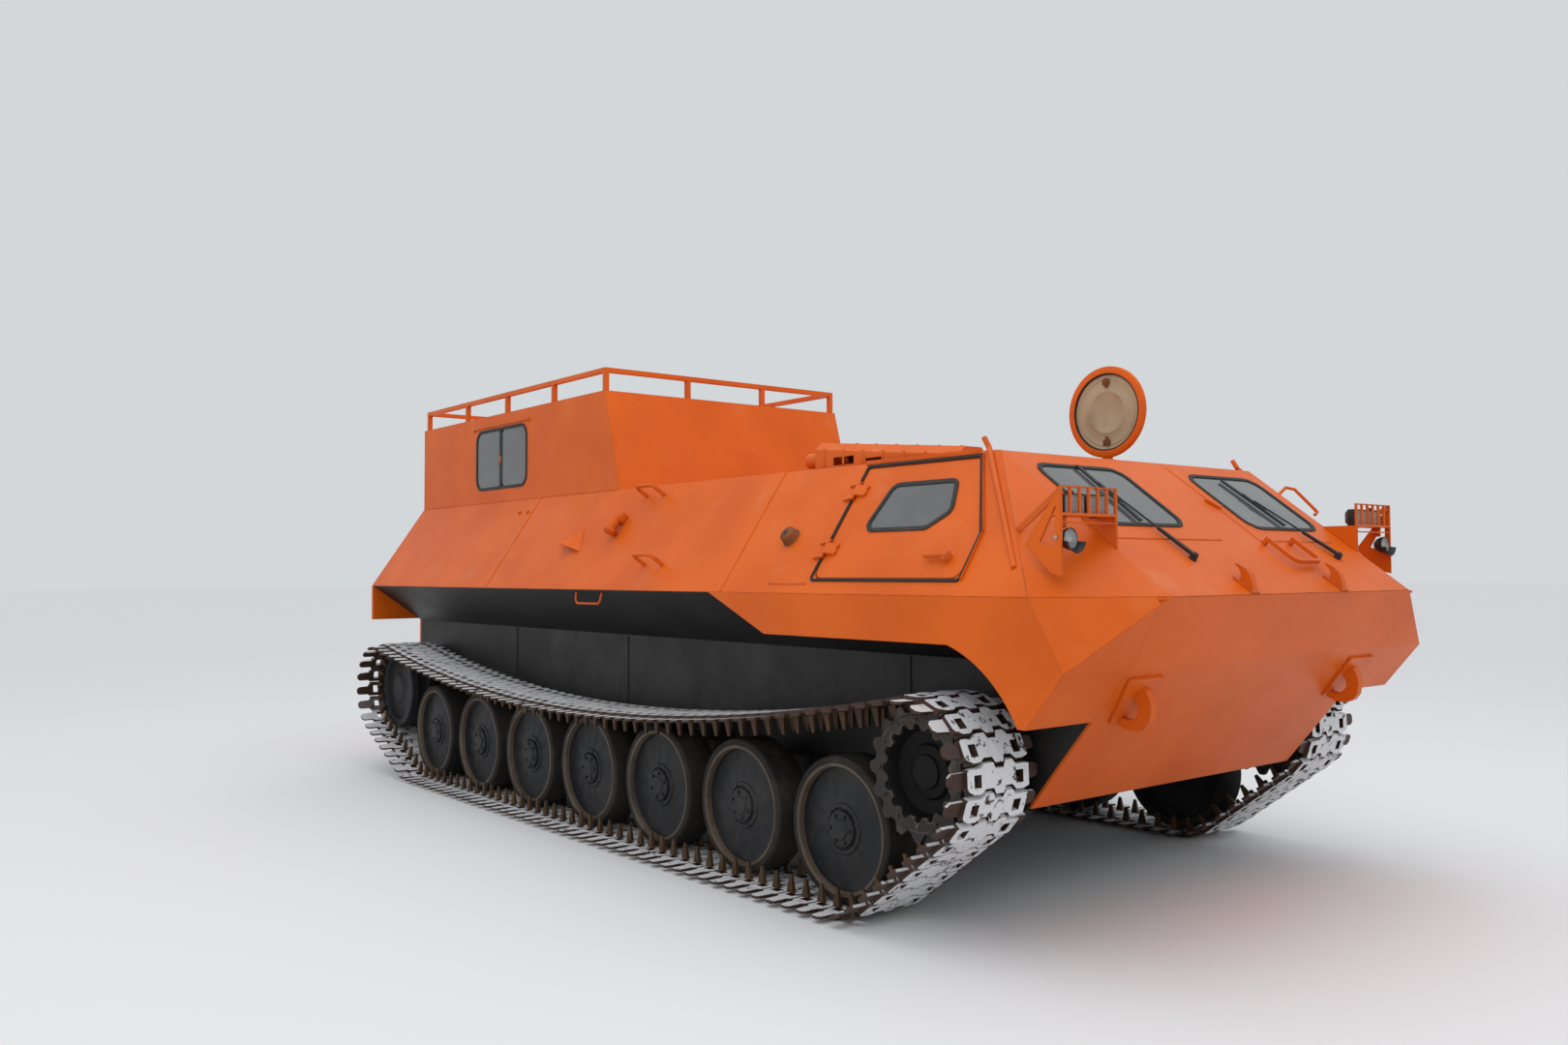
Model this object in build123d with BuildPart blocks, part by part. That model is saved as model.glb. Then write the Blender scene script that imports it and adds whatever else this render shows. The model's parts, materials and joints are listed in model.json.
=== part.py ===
from build123d import *
from math import atan2, cos, degrees, hypot, radians, sin, tan
import os

os.makedirs("parts", exist_ok=True)

# Tracked carrier in millimetres: +X forward, +Y to its left, +Z up, the ground at z = 0.
# Stations along the vehicle are distances behind the nose edge.
hull_length = 7230.0
coupling_reach = 60.0
nose_x = (hull_length + coupling_reach) / 2
tail_x = nose_x - hull_length

# Upper body: sloped sides between the waist and the roof, a sloped deck and cut corners
waist_z = 1444.0
waist_y = 1441.0
roof_z = 2079.0
roof_y = 1000.0
nose_y = 984.0
roof_front = 845.0
corner_back = 330.0
skin = 30.0
seam_back = 2350.0
shell_gap = 0.3

# Lower hull
hull_y = 1030.0
plate = 12.0
floor_z = 500.0
shelf_z = 1155.0
seam_z = 1158.0
seam_step = 164.0
bow_foot_back = 677.0
bow_foot_z = 538.0
floor_start_back = 940.0
stern_rise = 290.0
stern_foot_z = 620.0
stern_clear = 40.0

# Fenders: thin skirts over the front half of the tracks
skirt_plate = 6.0
fender_foot_z = 935.0
skirt_end_back = 2454.0
skirt_low_z = 1245.0
skirt_low_back = 1984.0
arch_front_back = 390.0
arch_middle = (560.0, 1140.0)
arch_crown_back = 760.0

# Rear cabin on the roof edges
cabin_top_z = 2745.0
cabin_front_top = 4252.0
cabin_front_base = 4064.0

# Running gear
wheel_count = 7
wheel_pitch = 761.0
wheel_radius = 335.0
wheel_sides = 16
wheel_outer_y = 1397.0
wheel_width = 180.0
first_wheel_back = 1490.0
rim_radius = 285.0
dish_depth = 50.0
hub_radius = 88.0
hub_sides = 8
hub_depth = 45.0
shoe_plate = 17.0
shoe_grouser = 20.0
shoe_pitch = 111.0
track_inner_y = 1066.0
track_outer_y = 1597.0
track_clear = 0.3
shoe_height = shoe_plate + shoe_grouser
wheel_z = shoe_height + wheel_radius + track_clear
sprocket_back = 915.0
sprocket_z = 705.0
sprocket_wrap = 293.0
drum_radius = 210.0
drum_sides = 16
valley_radius = 252.0
tooth_tip = 289.0
tooth_count = 16
tooth_half = 0.14
ring_thick = 24.0
ring_places = (1190.0, 1440.0)
final_drive_radius = 190.0
idler_back = 6790.0
idler_z = 640.0
idler_wrap = 315.0
idler_clear = 6.0
idler_width = 200.0
idler_dish = 40.0

# Corners of sheet outlines are rounded off by this many flats
corner_flats = 3


def station(back):
    return nose_x - back


def facet(a, b, c):
    """Plane through three points, its normal by the right-hand rule."""
    first = Vector(*b) - Vector(*a)
    second = Vector(*c) - Vector(*a)
    return Plane(origin=a, x_dir=first, z_dir=first.cross(second))


def eased(points, corner, flats=corner_flats):
    """Outline points with each corner rounded off; the corner is one radius or one for each point."""
    outline = []
    for number, point in enumerate(points):
        radius = corner[number] if isinstance(corner, tuple) else corner
        here = Vector(*point)
        before = (Vector(*points[number - 1]) - here).normalized()
        after = (Vector(*points[(number + 1) % len(points)]) - here).normalized()
        if radius == 0:
            outline.append((here.X, here.Y))
            continue
        half = radians(before.get_angle(after) / 2)
        centre = here + (before + after).normalized() * (radius / sin(half))
        start = here + before * (radius / tan(half)) - centre
        end = here + after * (radius / tan(half)) - centre
        for step in range(flats + 1):
            arm = (start * (flats - step) + end * step).normalized() * radius
            outline.append(((centre + arm).X, (centre + arm).Y))
    return outline


def block_points(length, height, middle=(0.0, 0.0)):
    """Corner points of a rectangle about its middle."""
    signs = ((-1, -1), (1, -1), (1, 1), (-1, 1))
    return [(middle[0] + x * length / 2, middle[1] + y * height / 2) for x, y in signs]


# The flat faces of the upper body, each facing outwards
nose_r = (nose_x, -nose_y, waist_z)
nose_l = (nose_x, nose_y, waist_z)
roof_r = (station(roof_front), -roof_y, roof_z)
roof_l = (station(roof_front), roof_y, roof_z)
corner_r = (station(corner_back), -waist_y, waist_z)
corner_l = (station(corner_back), waist_y, waist_z)
roof_face = Plane(origin=roof_r, x_dir=(1, 0, 0), z_dir=(0, 0, 1))
slope_face_r = facet((tail_x, -waist_y, waist_z), corner_r, roof_r)
slope_face_l = facet(corner_l, (tail_x, waist_y, waist_z), roof_l)
deck_face = facet(nose_r, nose_l, roof_l)
corner_face_r = facet(corner_r, nose_r, roof_r)
corner_face_l = facet(nose_l, corner_l, roof_l)
upper_faces = (roof_face, slope_face_r, slope_face_l, deck_face, corner_face_r, corner_face_l)
slope_run = waist_y - roof_y
slope_rise = roof_z - waist_z
slope_length = hypot(slope_run, slope_rise)


def faceted_block(inset, low_z):
    """The upper body's outer form, each face moved in by the inset."""
    with BuildPart() as block:
        with BuildSketch(Plane.XY.offset(low_z)):
            with Locations((nose_x - hull_length / 2, 0)):
                Rectangle(1.1 * hull_length, 4 * waist_y)
        extrude(amount=roof_z - low_z + slope_rise)
        for face in upper_faces:
            split(bisect_by=face.offset(-inset), keep=Keep.BOTTOM)
    return block.part


def save(piece, name):
    piece.part.label = name
    export_step(piece.part, f"parts/{name}.step")


upper_outer = faceted_block(0, waist_z)
upper_inner = faceted_block(skin, waist_z - 1)


def slope_plane(side):
    """Working plane on a side slope: x runs up the slope from the waist, z outwards."""
    up = Vector(0, -side * slope_run, slope_rise)
    out = Vector(0, side * slope_rise, slope_run)
    return Plane(origin=(nose_x, side * waist_y, waist_z), x_dir=up, z_dir=out)


# Doors on the slopes. Columns: distance behind the nose edge, distance up the slope
door_gap = 8.0
door_outline = ((1665, 90), (1665, 735), (945, 735), (740, 320), (740, 90))
door_corners = (45.0, 0.0, 0.0, 0.0, 45.0)
door_window = ((1490, 345), (1430, 630), (1010, 630), (950, 440), (1070, 345))
door_window_corner = 55.0

# Windows: a seal lies on the panel over the edge of the glass, which sits in the panel's cut-out
seal_width = 22.0
seal_proud = 5.0
seal_lap = 12.0
glass_thick = 6.0
glass_gap = 0.3
hidden_corner = 0.5


def slope_outline(side, points, corner, grow=0.0, flats=corner_flats):
    """Outline in a slope plane, grown or shrunk all round."""
    placed = [(up, -side * back) for back, up in points]
    with BuildSketch() as outline:
        with BuildLine():
            Polyline(*eased(placed, corner, flats), close=True)
        make_face()
        if grow:
            offset(amount=grow, kind=Kind.INTERSECTION)
    return outline.sketch


# Windscreens on the deck. x runs up the deck from the nose edge
deck_length = hypot(roof_front, slope_rise)
screen_low = 485.0
screen_high = 965.0
screen_inner_y = 262.0
screen_outer_y = 895.0
screen_corner = 85.0
deck_plane = Plane(origin=(nose_x, 0, waist_z), x_dir=(-roof_front, 0, slope_rise),
                   z_dir=(slope_rise, 0, roof_front))


def window_sketch(length, height, corner, middle, grow=0.0, flats=corner_flats):
    """Window outline about its middle, grown or shrunk all round."""
    with BuildSketch() as outline:
        with BuildLine():
            Polyline(*eased(block_points(length, height, middle), corner, flats), close=True)
        make_face()
        if grow:
            offset(amount=grow, kind=Kind.INTERSECTION)
    return outline.sketch


def screen_outline(side, grow=0.0, flats=corner_flats):
    """Windscreen outline in the deck plane."""
    middle = ((screen_low + screen_high) / 2, -side * (screen_inner_y + screen_outer_y) / 2)
    corner = screen_corner if flats > 1 else hidden_corner * screen_corner
    length = screen_high - screen_low
    return window_sketch(length, screen_outer_y - screen_inner_y, corner, middle, grow, flats)


# Cabin windows, one a side, in the cabin's walls
cabin_window_back = 5780.0
cabin_window_z = 2409.0
cabin_window_length = 855.0
cabin_window_height = 466.0
cabin_window_corner = 90.0
window_bar = 40.0


def cabin_window(grow=0.0, flats=corner_flats):
    """Cabin window outline in a plane facing the vehicle's side."""
    corner = cabin_window_corner if flats > 1 else hidden_corner * cabin_window_corner
    middle = (station(cabin_window_back), cabin_window_z)
    return window_sketch(cabin_window_length, cabin_window_height, corner, middle, grow, flats)


# Roof hatch
hatch_back = 1324.0
hatch_y = 140.0
hatch_radius = 225.0
coaming_height = 35.0
coaming_wall = 16.0
coaming_sides = 36
lid_thick = 28.0
lid_clear = 6.0
hatch_hinge_y = 410.0
latch_block = (40.0, 26.0, 30.0)
latch_angles = (-115.0, -65.0)

# Engine lid over the roof between the seam and the cabin
engine_lid_back = 2800.0
engine_lid_length = 700.0
engine_lid_width = 900.0
lid_gap = 8.0

# Hinges: a knuckle and strap on the leaf, two ears and a pin on the body
hinge_out = 12.0
hinge_radius = 9.0
pin_radius = 5.0
bore_sides = 8
pin_clear = 0.3
knuckle_length = 60.0
ear_length = 22.0
ear_clear = 1.0
strap_reach = 70.0
strap_thick = 8.0


def hinge_outline(way):
    """Eye around the pin with a strap running down to the surface on one side, along x."""
    with BuildSketch() as outline:
        with BuildLine():
            Polyline((0, -hinge_out), (way * strap_reach, -hinge_out),
                     (way * strap_reach, strap_thick - hinge_out), (way * hinge_radius, hinge_radius),
                     (-way * hinge_radius, hinge_radius), (-way * hinge_radius, -hinge_radius / 3), close=True)
        make_face()
    return outline.sketch


def hinge_knuckle(plane):
    """Moving half. The plane's z is the pin, its x points to the leaf, its y away from the body."""
    with BuildPart() as half:
        with BuildSketch(plane.offset(-knuckle_length / 2)):
            add(hinge_outline(1))
            RegularPolygon(pin_radius + pin_clear, bore_sides, major_radius=False, mode=Mode.SUBTRACT)
        extrude(amount=knuckle_length)
    return half.part


def hinge_ears(plane):
    """Fixed half, standing on the body's surface."""
    ear_start = knuckle_length / 2 + ear_clear
    with BuildPart() as half:
        for start in (ear_start, -ear_start - ear_length):
            with BuildSketch(plane.offset(start)):
                add(hinge_outline(-1))
            extrude(amount=ear_length)
        with BuildSketch(plane.offset(-ear_start - ear_clear)):
            RegularPolygon(pin_radius, bore_sides)
        extrude(amount=2 * (ear_start + ear_clear))
    return half.part


def side_hinge_plane(side, up):
    """Hinge of a side door at a distance up the slope."""
    frame = slope_plane(side)
    spot = frame.from_local_coords((up, -side * (door_outline[0][0] + door_gap / 2), hinge_out))
    return Plane(origin=spot, x_dir=(1, 0, 0), z_dir=side * frame.x_dir)


def leaf_hinge_plane(side, height):
    """Hinge of a rear door leaf at a height."""
    return Plane(origin=(tail_x - hinge_out, side * (doorway_half - leaf_gap / 2), height),
                 x_dir=(0, -side, 0), z_dir=(0, 0, -side))


def lid_hinge_plane(y):
    """Hinge of the engine lid at its rear edge."""
    rear = engine_lid_back + engine_lid_length / 2 - lid_gap / 2
    return Plane(origin=(station(rear), y, roof_z + hinge_out), x_dir=(1, 0, 0), z_dir=(0, -1, 0))


side_hinge_ups = (250.0, 595.0)
leaf_hinge_heights = (1200.0, 2150.0)
lid_hinge_ys = (-300.0, 300.0)


def mitre(face, neighbour, corner):
    """Plane through the edge of two faces, halfway between them, facing the first one's plate."""
    return Plane(origin=corner, z_dir=face.z_dir - neighbour.z_dir)


def cab_plates(*cuts):
    """Plates of the upper body ahead of the seam, on the near side of each cut."""
    with BuildPart() as plates:
        add(upper_outer)
        add(upper_inner, mode=Mode.SUBTRACT)
        split(bisect_by=Plane.YZ.offset(station(seam_back)), keep=Keep.TOP)
        for cut in cuts:
            split(bisect_by=cut, keep=Keep.TOP)
    return plates.part


# Cab roof with the hatch's coaming, its hinge ears and two latch blocks
coaming_outer = hatch_radius + coaming_wall
hatch_hinge_z = roof_z + coaming_height + lid_clear + lid_thick / 2
hatch_knuckle = 60.0
hatch_ear = 16.0
ear_drop = 12.0
lug_inner_y = hatch_y + hatch_radius + 2
lip_rise = 14.0
lip_width = 10.0
lip_ends = (980.0, 1720.0)
hatch_spot = (station(hatch_back), hatch_y)
latch_spots = [Rot(0, 0, angle) * Pos(coaming_outer + latch_block[0] / 4, 0, 0) for angle in latch_angles]
ear_box_y = (lug_inner_y + hatch_hinge_y + hinge_radius) / 2
with BuildPart() as cab_roof:
    add(cab_plates(mitre(roof_face, deck_face, roof_r), mitre(roof_face, slope_face_r, roof_r),
                   mitre(roof_face, slope_face_l, roof_l)))
    with BuildSketch(Plane.XY.offset(roof_z)):
        with Locations(*[(station(sum(lip_ends) / 2), side * (roof_y - lip_width / 2)) for side in (-1, 1)]):
            Rectangle(lip_ends[1] - lip_ends[0], lip_width)
    extrude(amount=lip_rise)
    with BuildSketch(Plane.XY.offset(roof_z)):
        with Locations(hatch_spot):
            RegularPolygon(coaming_outer, coaming_sides)
    extrude(amount=coaming_height)
    with BuildSketch(Plane.XY.offset(roof_z)):
        with Locations(hatch_spot):
            with Locations(*latch_spots):
                Rectangle(latch_block[0], latch_block[1])
    extrude(amount=latch_block[2])
    for start in (hatch_knuckle / 2 + ear_clear, -hatch_knuckle / 2 - ear_clear - hatch_ear):
        with BuildSketch(Plane.YZ.offset(station(hatch_back) + start)):
            with Locations((ear_box_y, roof_z + (coaming_height - ear_drop) / 2)):
                Rectangle(hatch_hinge_y + hinge_radius - lug_inner_y, coaming_height - ear_drop)
            with Locations((hatch_hinge_y, (roof_z + hatch_hinge_z + hinge_radius) / 2)):
                Rectangle(2 * hinge_radius, hatch_hinge_z + hinge_radius - roof_z)
        extrude(amount=hatch_ear)
    with BuildSketch(Plane.YZ.offset(station(hatch_back) - hatch_knuckle / 2 - 2 * ear_clear)):
        with Locations((hatch_hinge_y, hatch_hinge_z)):
            RegularPolygon(pin_radius, bore_sides)
    extrude(amount=hatch_knuckle + 4 * ear_clear)
    with BuildSketch(Plane.XY.offset(roof_z - 2 * skin)):
        with Locations(hatch_spot):
            Circle(hatch_radius)
    extrude(amount=4 * skin, mode=Mode.SUBTRACT)
save(cab_roof, "cab_roof")

# Cab front: the deck and its two cut corners in one folded plate
with BuildPart() as cab_front:
    add(cab_plates(mitre(deck_face, roof_face, roof_r), mitre(corner_face_r, slope_face_r, roof_r),
                   mitre(corner_face_l, slope_face_l, roof_l)))
    for side in (-1, 1):
        with BuildSketch(deck_plane):
            add(screen_outline(side, -seal_lap, 1))
        extrude(amount=2 * skin, both=True, mode=Mode.SUBTRACT)
save(cab_front, "cab_front")

# Cab sides: one sloped plate a side with its doorway
with BuildPart() as cab_sides:
    for slope, cheek, top in ((slope_face_r, corner_face_r, roof_r), (slope_face_l, corner_face_l, roof_l)):
        add(cab_plates(mitre(slope, roof_face, top), mitre(slope, cheek, top)))
    for side in (-1, 1):
        with BuildSketch(slope_plane(side)):
            add(slope_outline(side, door_outline, door_corners, door_gap))
        extrude(amount=2 * skin, both=True, mode=Mode.SUBTRACT)
save(cab_sides, "cab_sides")

# Rear part of the upper body, open upwards into the cabin
with BuildPart() as rear_shell:
    add(upper_outer)
    add(upper_inner, mode=Mode.SUBTRACT)
    split(bisect_by=Plane.YZ.offset(station(seam_back)), keep=Keep.BOTTOM)
    split(bisect_by=Plane.YZ.offset(tail_x + skin + shell_gap), keep=Keep.TOP)
    with BuildSketch(Plane.XY.offset(roof_z - 2 * skin)):
        with Locations((station((cabin_front_base + hull_length) / 2 + skin), 0)):
            Rectangle(hull_length - cabin_front_base, 2 * (roof_y - 2 * skin))
        with Locations((station(engine_lid_back), 0)):
            Rectangle(engine_lid_length, engine_lid_width)
    extrude(amount=4 * skin, mode=Mode.SUBTRACT)
save(rear_shell, "rear_shell")


def cabin_outline(inset, low_z):
    """Side view of the cabin, moved in by the inset at the front and the top."""
    slope = (cabin_front_top - cabin_front_base) / (cabin_top_z - roof_z)
    back_at = [cabin_front_base + inset + slope * (z - roof_z) for z in (low_z, cabin_top_z - inset)]
    with BuildSketch() as outline:
        with BuildLine():
            Polyline(
                (tail_x, low_z),
                (station(back_at[0]), low_z),
                (station(back_at[1]), cabin_top_z - inset),
                (tail_x, cabin_top_z - inset),
                close=True,
            )
        make_face()
    return outline.sketch


# Rear cabin: walls, a leaning front and a roof, open below, with a rain lip over each window
cabin_lip = (920.0, 14.0, 12.0)
cabin_lip_rise = 22.0
cabin_lip_z = cabin_window_z + cabin_window_height / 2 + cabin_lip_rise
with BuildPart() as cabin_shell:
    with BuildSketch(Plane.XZ.offset(roof_y)):
        add(cabin_outline(0, roof_z + shell_gap))
    extrude(amount=-2 * roof_y)
    with BuildSketch(Plane.XZ.offset(roof_y + cabin_lip[2])):
        with Locations((station(cabin_window_back), cabin_lip_z)):
            Rectangle(cabin_lip[0], cabin_lip[1])
    extrude(amount=-2 * (roof_y + cabin_lip[2]))
    with BuildSketch(Plane.XZ.offset(roof_y - skin)):
        add(cabin_outline(skin, roof_z - 1))
    extrude(amount=-2 * (roof_y - skin), mode=Mode.SUBTRACT)
    split(bisect_by=Plane.YZ.offset(tail_x + skin + shell_gap), keep=Keep.TOP)
    with BuildSketch(Plane.XZ.offset(roof_y + skin)):
        add(cabin_window(-seal_lap, 1))
    extrude(amount=-2 * (roof_y + skin), mode=Mode.SUBTRACT)
save(cabin_shell, "cabin_shell")

# Rear wall with a doorway for two leaves
doorway_low = 900.0
doorway_high = 2450.0
doorway_half = 600.0
leaf_gap = 8.0
end_strip_z = 1170.0
with BuildPart() as rear_wall:
    with BuildSketch(Plane.YZ.offset(tail_x)):
        with BuildLine():
            Polyline(
                (0, cabin_top_z), (roof_y, cabin_top_z), (roof_y, roof_z), (waist_y, waist_z),
                (waist_y, end_strip_z), (hull_y, end_strip_z), (hull_y, stern_foot_z), (0, stern_foot_z),
                close=True,
            )
        make_face()
        mirror(about=Plane.YZ)
        with Locations((0, (doorway_low + doorway_high) / 2)):
            Rectangle(2 * doorway_half, doorway_high - doorway_low, mode=Mode.SUBTRACT)
    extrude(amount=skin)
save(rear_wall, "rear_wall")

# Rear door leaves, each with a small window and its glass on the inner face
leaf_window_z = 2150.0
leaf_window_width = 340.0
leaf_window_height = 360.0
leaf_window_corner = 60.0
leaf_glass_lap = 20.0
leaf_width = doorway_half - 1.5 * leaf_gap
for side, name in ((-1, "rear_door_r"), (1, "rear_door_l")):
    leaf_y = side * (doorway_half - leaf_gap - leaf_width / 2)
    with BuildPart() as leaf:
        with BuildSketch(Plane.YZ.offset(tail_x)):
            with Locations((leaf_y, (doorway_low + doorway_high) / 2)):
                Rectangle(leaf_width, doorway_high - doorway_low - 2 * leaf_gap)
            add(window_sketch(leaf_window_width, leaf_window_height, leaf_window_corner,
                              (leaf_y, leaf_window_z)), mode=Mode.SUBTRACT)
        extrude(amount=skin)
        for height in leaf_hinge_heights:
            add(hinge_knuckle(leaf_hinge_plane(side, height)))
    save(leaf, name)
    with BuildPart() as leaf_glass:
        with BuildSketch(Plane.YZ.offset(tail_x + skin)):
            with Locations((leaf_y, leaf_window_z)):
                Rectangle(leaf_window_width + 2 * leaf_glass_lap, leaf_window_height + 2 * leaf_glass_lap)
        extrude(amount=glass_thick)
    save(leaf_glass, name.replace("door", "door_glass"))

# Side doors with their lever handles, glass and seals
handle_back = 848.0
handle_up = 191.0
handle_length = 140.0
handle_width = 18.0
handle_out = 30.0
handle_boss = 34.0
cut_corner = hidden_corner * door_window_corner
for side, tail in ((-1, "r"), (1, "l")):
    with BuildPart() as door:
        with BuildSketch(slope_plane(side)):
            add(slope_outline(side, door_outline, door_corners))
            add(slope_outline(side, door_window, cut_corner, -seal_lap, 1), mode=Mode.SUBTRACT)
        extrude(amount=-skin)
        with BuildSketch(slope_plane(side)):
            with Locations((handle_up, -side * handle_back)):
                Rectangle(handle_boss, handle_boss)
        extrude(amount=handle_out)
        with BuildSketch(slope_plane(side).offset(handle_out)):
            with Locations((handle_up, -side * (handle_back + handle_length / 2 - handle_boss / 2))):
                Rectangle(handle_width, handle_length)
        extrude(amount=-handle_out / 3)
        for up in side_hinge_ups:
            add(hinge_knuckle(side_hinge_plane(side, up)))
    save(door, f"door_{tail}")
    with BuildPart() as door_seal:
        with BuildSketch(slope_plane(side)):
            add(slope_outline(side, door_window, door_window_corner))
            add(slope_outline(side, door_window, door_window_corner, -seal_width), mode=Mode.SUBTRACT)
        extrude(amount=seal_proud)
    save(door_seal, f"door_seal_{tail}")
    with BuildPart() as door_glass:
        with BuildSketch(slope_plane(side)):
            add(slope_outline(side, door_window, cut_corner, -seal_lap - glass_gap, 1))
        extrude(amount=-glass_thick)
    save(door_glass, f"door_glass_{tail}")

# Seals and glass of the fixed windows: two windscreens and two cabin windows
with BuildPart() as window_seals:
    for side in (-1, 1):
        with BuildSketch(deck_plane):
            add(screen_outline(side))
            add(screen_outline(side, -seal_width), mode=Mode.SUBTRACT)
        extrude(amount=seal_proud)
        with BuildSketch(Plane.XZ.offset(-side * roof_y)):
            add(cabin_window())
            add(cabin_window(-seal_width), mode=Mode.SUBTRACT)
            with Locations((station(cabin_window_back), cabin_window_z)):
                Rectangle(window_bar, cabin_window_height - seal_width)
        extrude(amount=-side * seal_proud)
save(window_seals, "window_seals")

with BuildPart() as window_glass:
    for side in (-1, 1):
        with BuildSketch(deck_plane):
            add(screen_outline(side, -seal_lap - glass_gap, 1))
        extrude(amount=-glass_thick)
        with BuildSketch(Plane.XZ.offset(-side * roof_y)):
            add(cabin_window(-seal_lap - glass_gap, 1))
        extrude(amount=side * glass_thick)
save(window_glass, "window_glass")

# Lower hull tub: an extruded section, cut by the bow, stern and waist planes
hull_rear_back = hull_length - stern_clear
stern_rise_back = hull_rear_back - stern_rise
plate_clear = 0.5
tub_y = waist_y - skirt_plate - plate_clear
shelf_rise = (waist_z - shelf_z) / (waist_y - hull_y)
bow_face = Plane(origin=(station(bow_foot_back), 0, bow_foot_z), x_dir=(0, 1, 0),
                 z_dir=(seam_z - bow_foot_z, 0, -(bow_foot_back - seam_step)))
brow_face = Plane(origin=(nose_x, 0, waist_z), z_dir=(waist_z - seam_z, 0, -seam_step))
keel_face = Plane(origin=(station(floor_start_back), 0, floor_z),
                  z_dir=(bow_foot_z - floor_z, 0, -(floor_start_back - bow_foot_back)))
stern_face = Plane(origin=(station(stern_rise_back), 0, floor_z),
                   z_dir=(-(stern_foot_z - floor_z), 0, -(hull_rear_back - stern_rise_back)))


def tub_block(inset, extra):
    """Solid form of the lower hull, each wall moved in by the inset."""
    wall_y = hull_y - inset
    shelf_start = shelf_z + inset * (hypot(1, shelf_rise) - shelf_rise)
    top_z = waist_z + extra
    top_y = wall_y + (top_z - shelf_start) / shelf_rise
    with BuildPart() as block:
        with BuildSketch(Plane.YZ.offset(tail_x)):
            with BuildLine():
                Polyline((0, floor_z + inset), (wall_y, floor_z + inset), (wall_y, shelf_start),
                         (top_y, top_z), (0, top_z), close=True)
            make_face()
            mirror(about=Plane.YZ)
        extrude(amount=hull_length)
        split(bisect_by=Plane.YZ.offset(tail_x + skin + shell_gap + inset), keep=Keep.TOP)
        split(bisect_by=stern_face.offset(-inset), keep=Keep.BOTTOM)
        split(bisect_by=keel_face.offset(-inset), keep=Keep.BOTTOM)
        split(bisect_by=bow_face.offset(-inset - plate), keep=Keep.BOTTOM)
        split(bisect_by=brow_face.offset(-inset - plate), keep=Keep.BOTTOM)
    return block.part


seam_out_r = (station(seam_step), -waist_y, seam_z)
seam_out_l = (station(seam_step), waist_y, seam_z)
cheek_face_r = facet(corner_r, seam_out_r, nose_r)
cheek_face_l = facet(corner_l, nose_l, seam_out_l)
cheek_faces = (cheek_face_r, cheek_face_l)
cheek_clear = skirt_plate + plate_clear

with BuildPart() as hull_tub:
    add(tub_block(0, 0))
    add(tub_block(plate, 5 * plate), mode=Mode.SUBTRACT)
    split(bisect_by=Plane.XZ.offset(-tub_y), keep=Keep.TOP)
    split(bisect_by=Plane.XZ.offset(tub_y), keep=Keep.BOTTOM)
    for face in cheek_faces:
        split(bisect_by=face.offset(-cheek_clear), keep=Keep.BOTTOM)
save(hull_tub, "hull_tub")


def bow_block(inset, half_width, cheeks):
    """Wedge under the nose edge, its front faces moved in by the inset."""
    with BuildPart() as block:
        with BuildSketch(Plane.XY.offset(bow_foot_z - inset)):
            with Locations((station(bow_foot_back / 2 + 2 * inset), 0)):
                Rectangle(bow_foot_back + 4 * inset, 2 * half_width)
        extrude(amount=waist_z - bow_foot_z + 2 * inset)
        for face in (brow_face, bow_face, *cheeks):
            split(bisect_by=face.offset(-inset), keep=Keep.BOTTOM)
    return block.part


# Bow: one folded plate from the nose edge down to the keel
with BuildPart() as bow_plate:
    add(bow_block(0, hull_y, cheek_faces))
    add(bow_block(plate, 2 * waist_y, ()), mode=Mode.SUBTRACT)
save(bow_plate, "bow_plate")


def fender_block(side, inset):
    """Body of one fender, its front faces and its cheek moved in by the inset."""
    middle = (station(skirt_end_back / 2 + 3 * inset), side * ((hull_y + waist_y) / 2 - 2 * inset))
    with BuildPart() as block:
        with BuildSketch(Plane.XY.offset(fender_foot_z - inset)):
            with Locations(middle):
                Rectangle(skirt_end_back + 6 * inset, waist_y - hull_y + 2 * inset)
        extrude(amount=waist_z - fender_foot_z + 2 * inset)
        for face in (brow_face, bow_face, cheek_faces[0] if side < 0 else cheek_faces[1]):
            split(bisect_by=face.offset(-inset), keep=Keep.BOTTOM)
    return block.part


# Fenders: skirt, cheek and front plate over each track, with a wheel arch
skirt_tail = 50.0
with BuildPart() as fenders:
    for side in (-1, 1):
        add(fender_block(side, 0))
    for side in (-1, 1):
        add(fender_block(side, skirt_plate), mode=Mode.SUBTRACT)
    with BuildSketch(Plane.XZ.offset(2 * waist_y)):
        with BuildLine():
            Polyline(
                (station(arch_crown_back), skirt_low_z), (station(skirt_low_back), skirt_low_z),
                (station(skirt_end_back), waist_z), (station(skirt_end_back + skirt_tail), waist_z),
                (station(skirt_end_back + skirt_tail), fender_foot_z - skirt_plate),
                (station(arch_front_back), fender_foot_z - skirt_plate),
                (station(arch_front_back), fender_foot_z),
            )
            ThreePointArc((station(arch_front_back), fender_foot_z), (station(arch_middle[0]), arch_middle[1]),
                          (station(arch_crown_back), skirt_low_z))
        make_face()
    extrude(amount=-4 * waist_y, mode=Mode.SUBTRACT)
save(fenders, "fenders")

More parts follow.
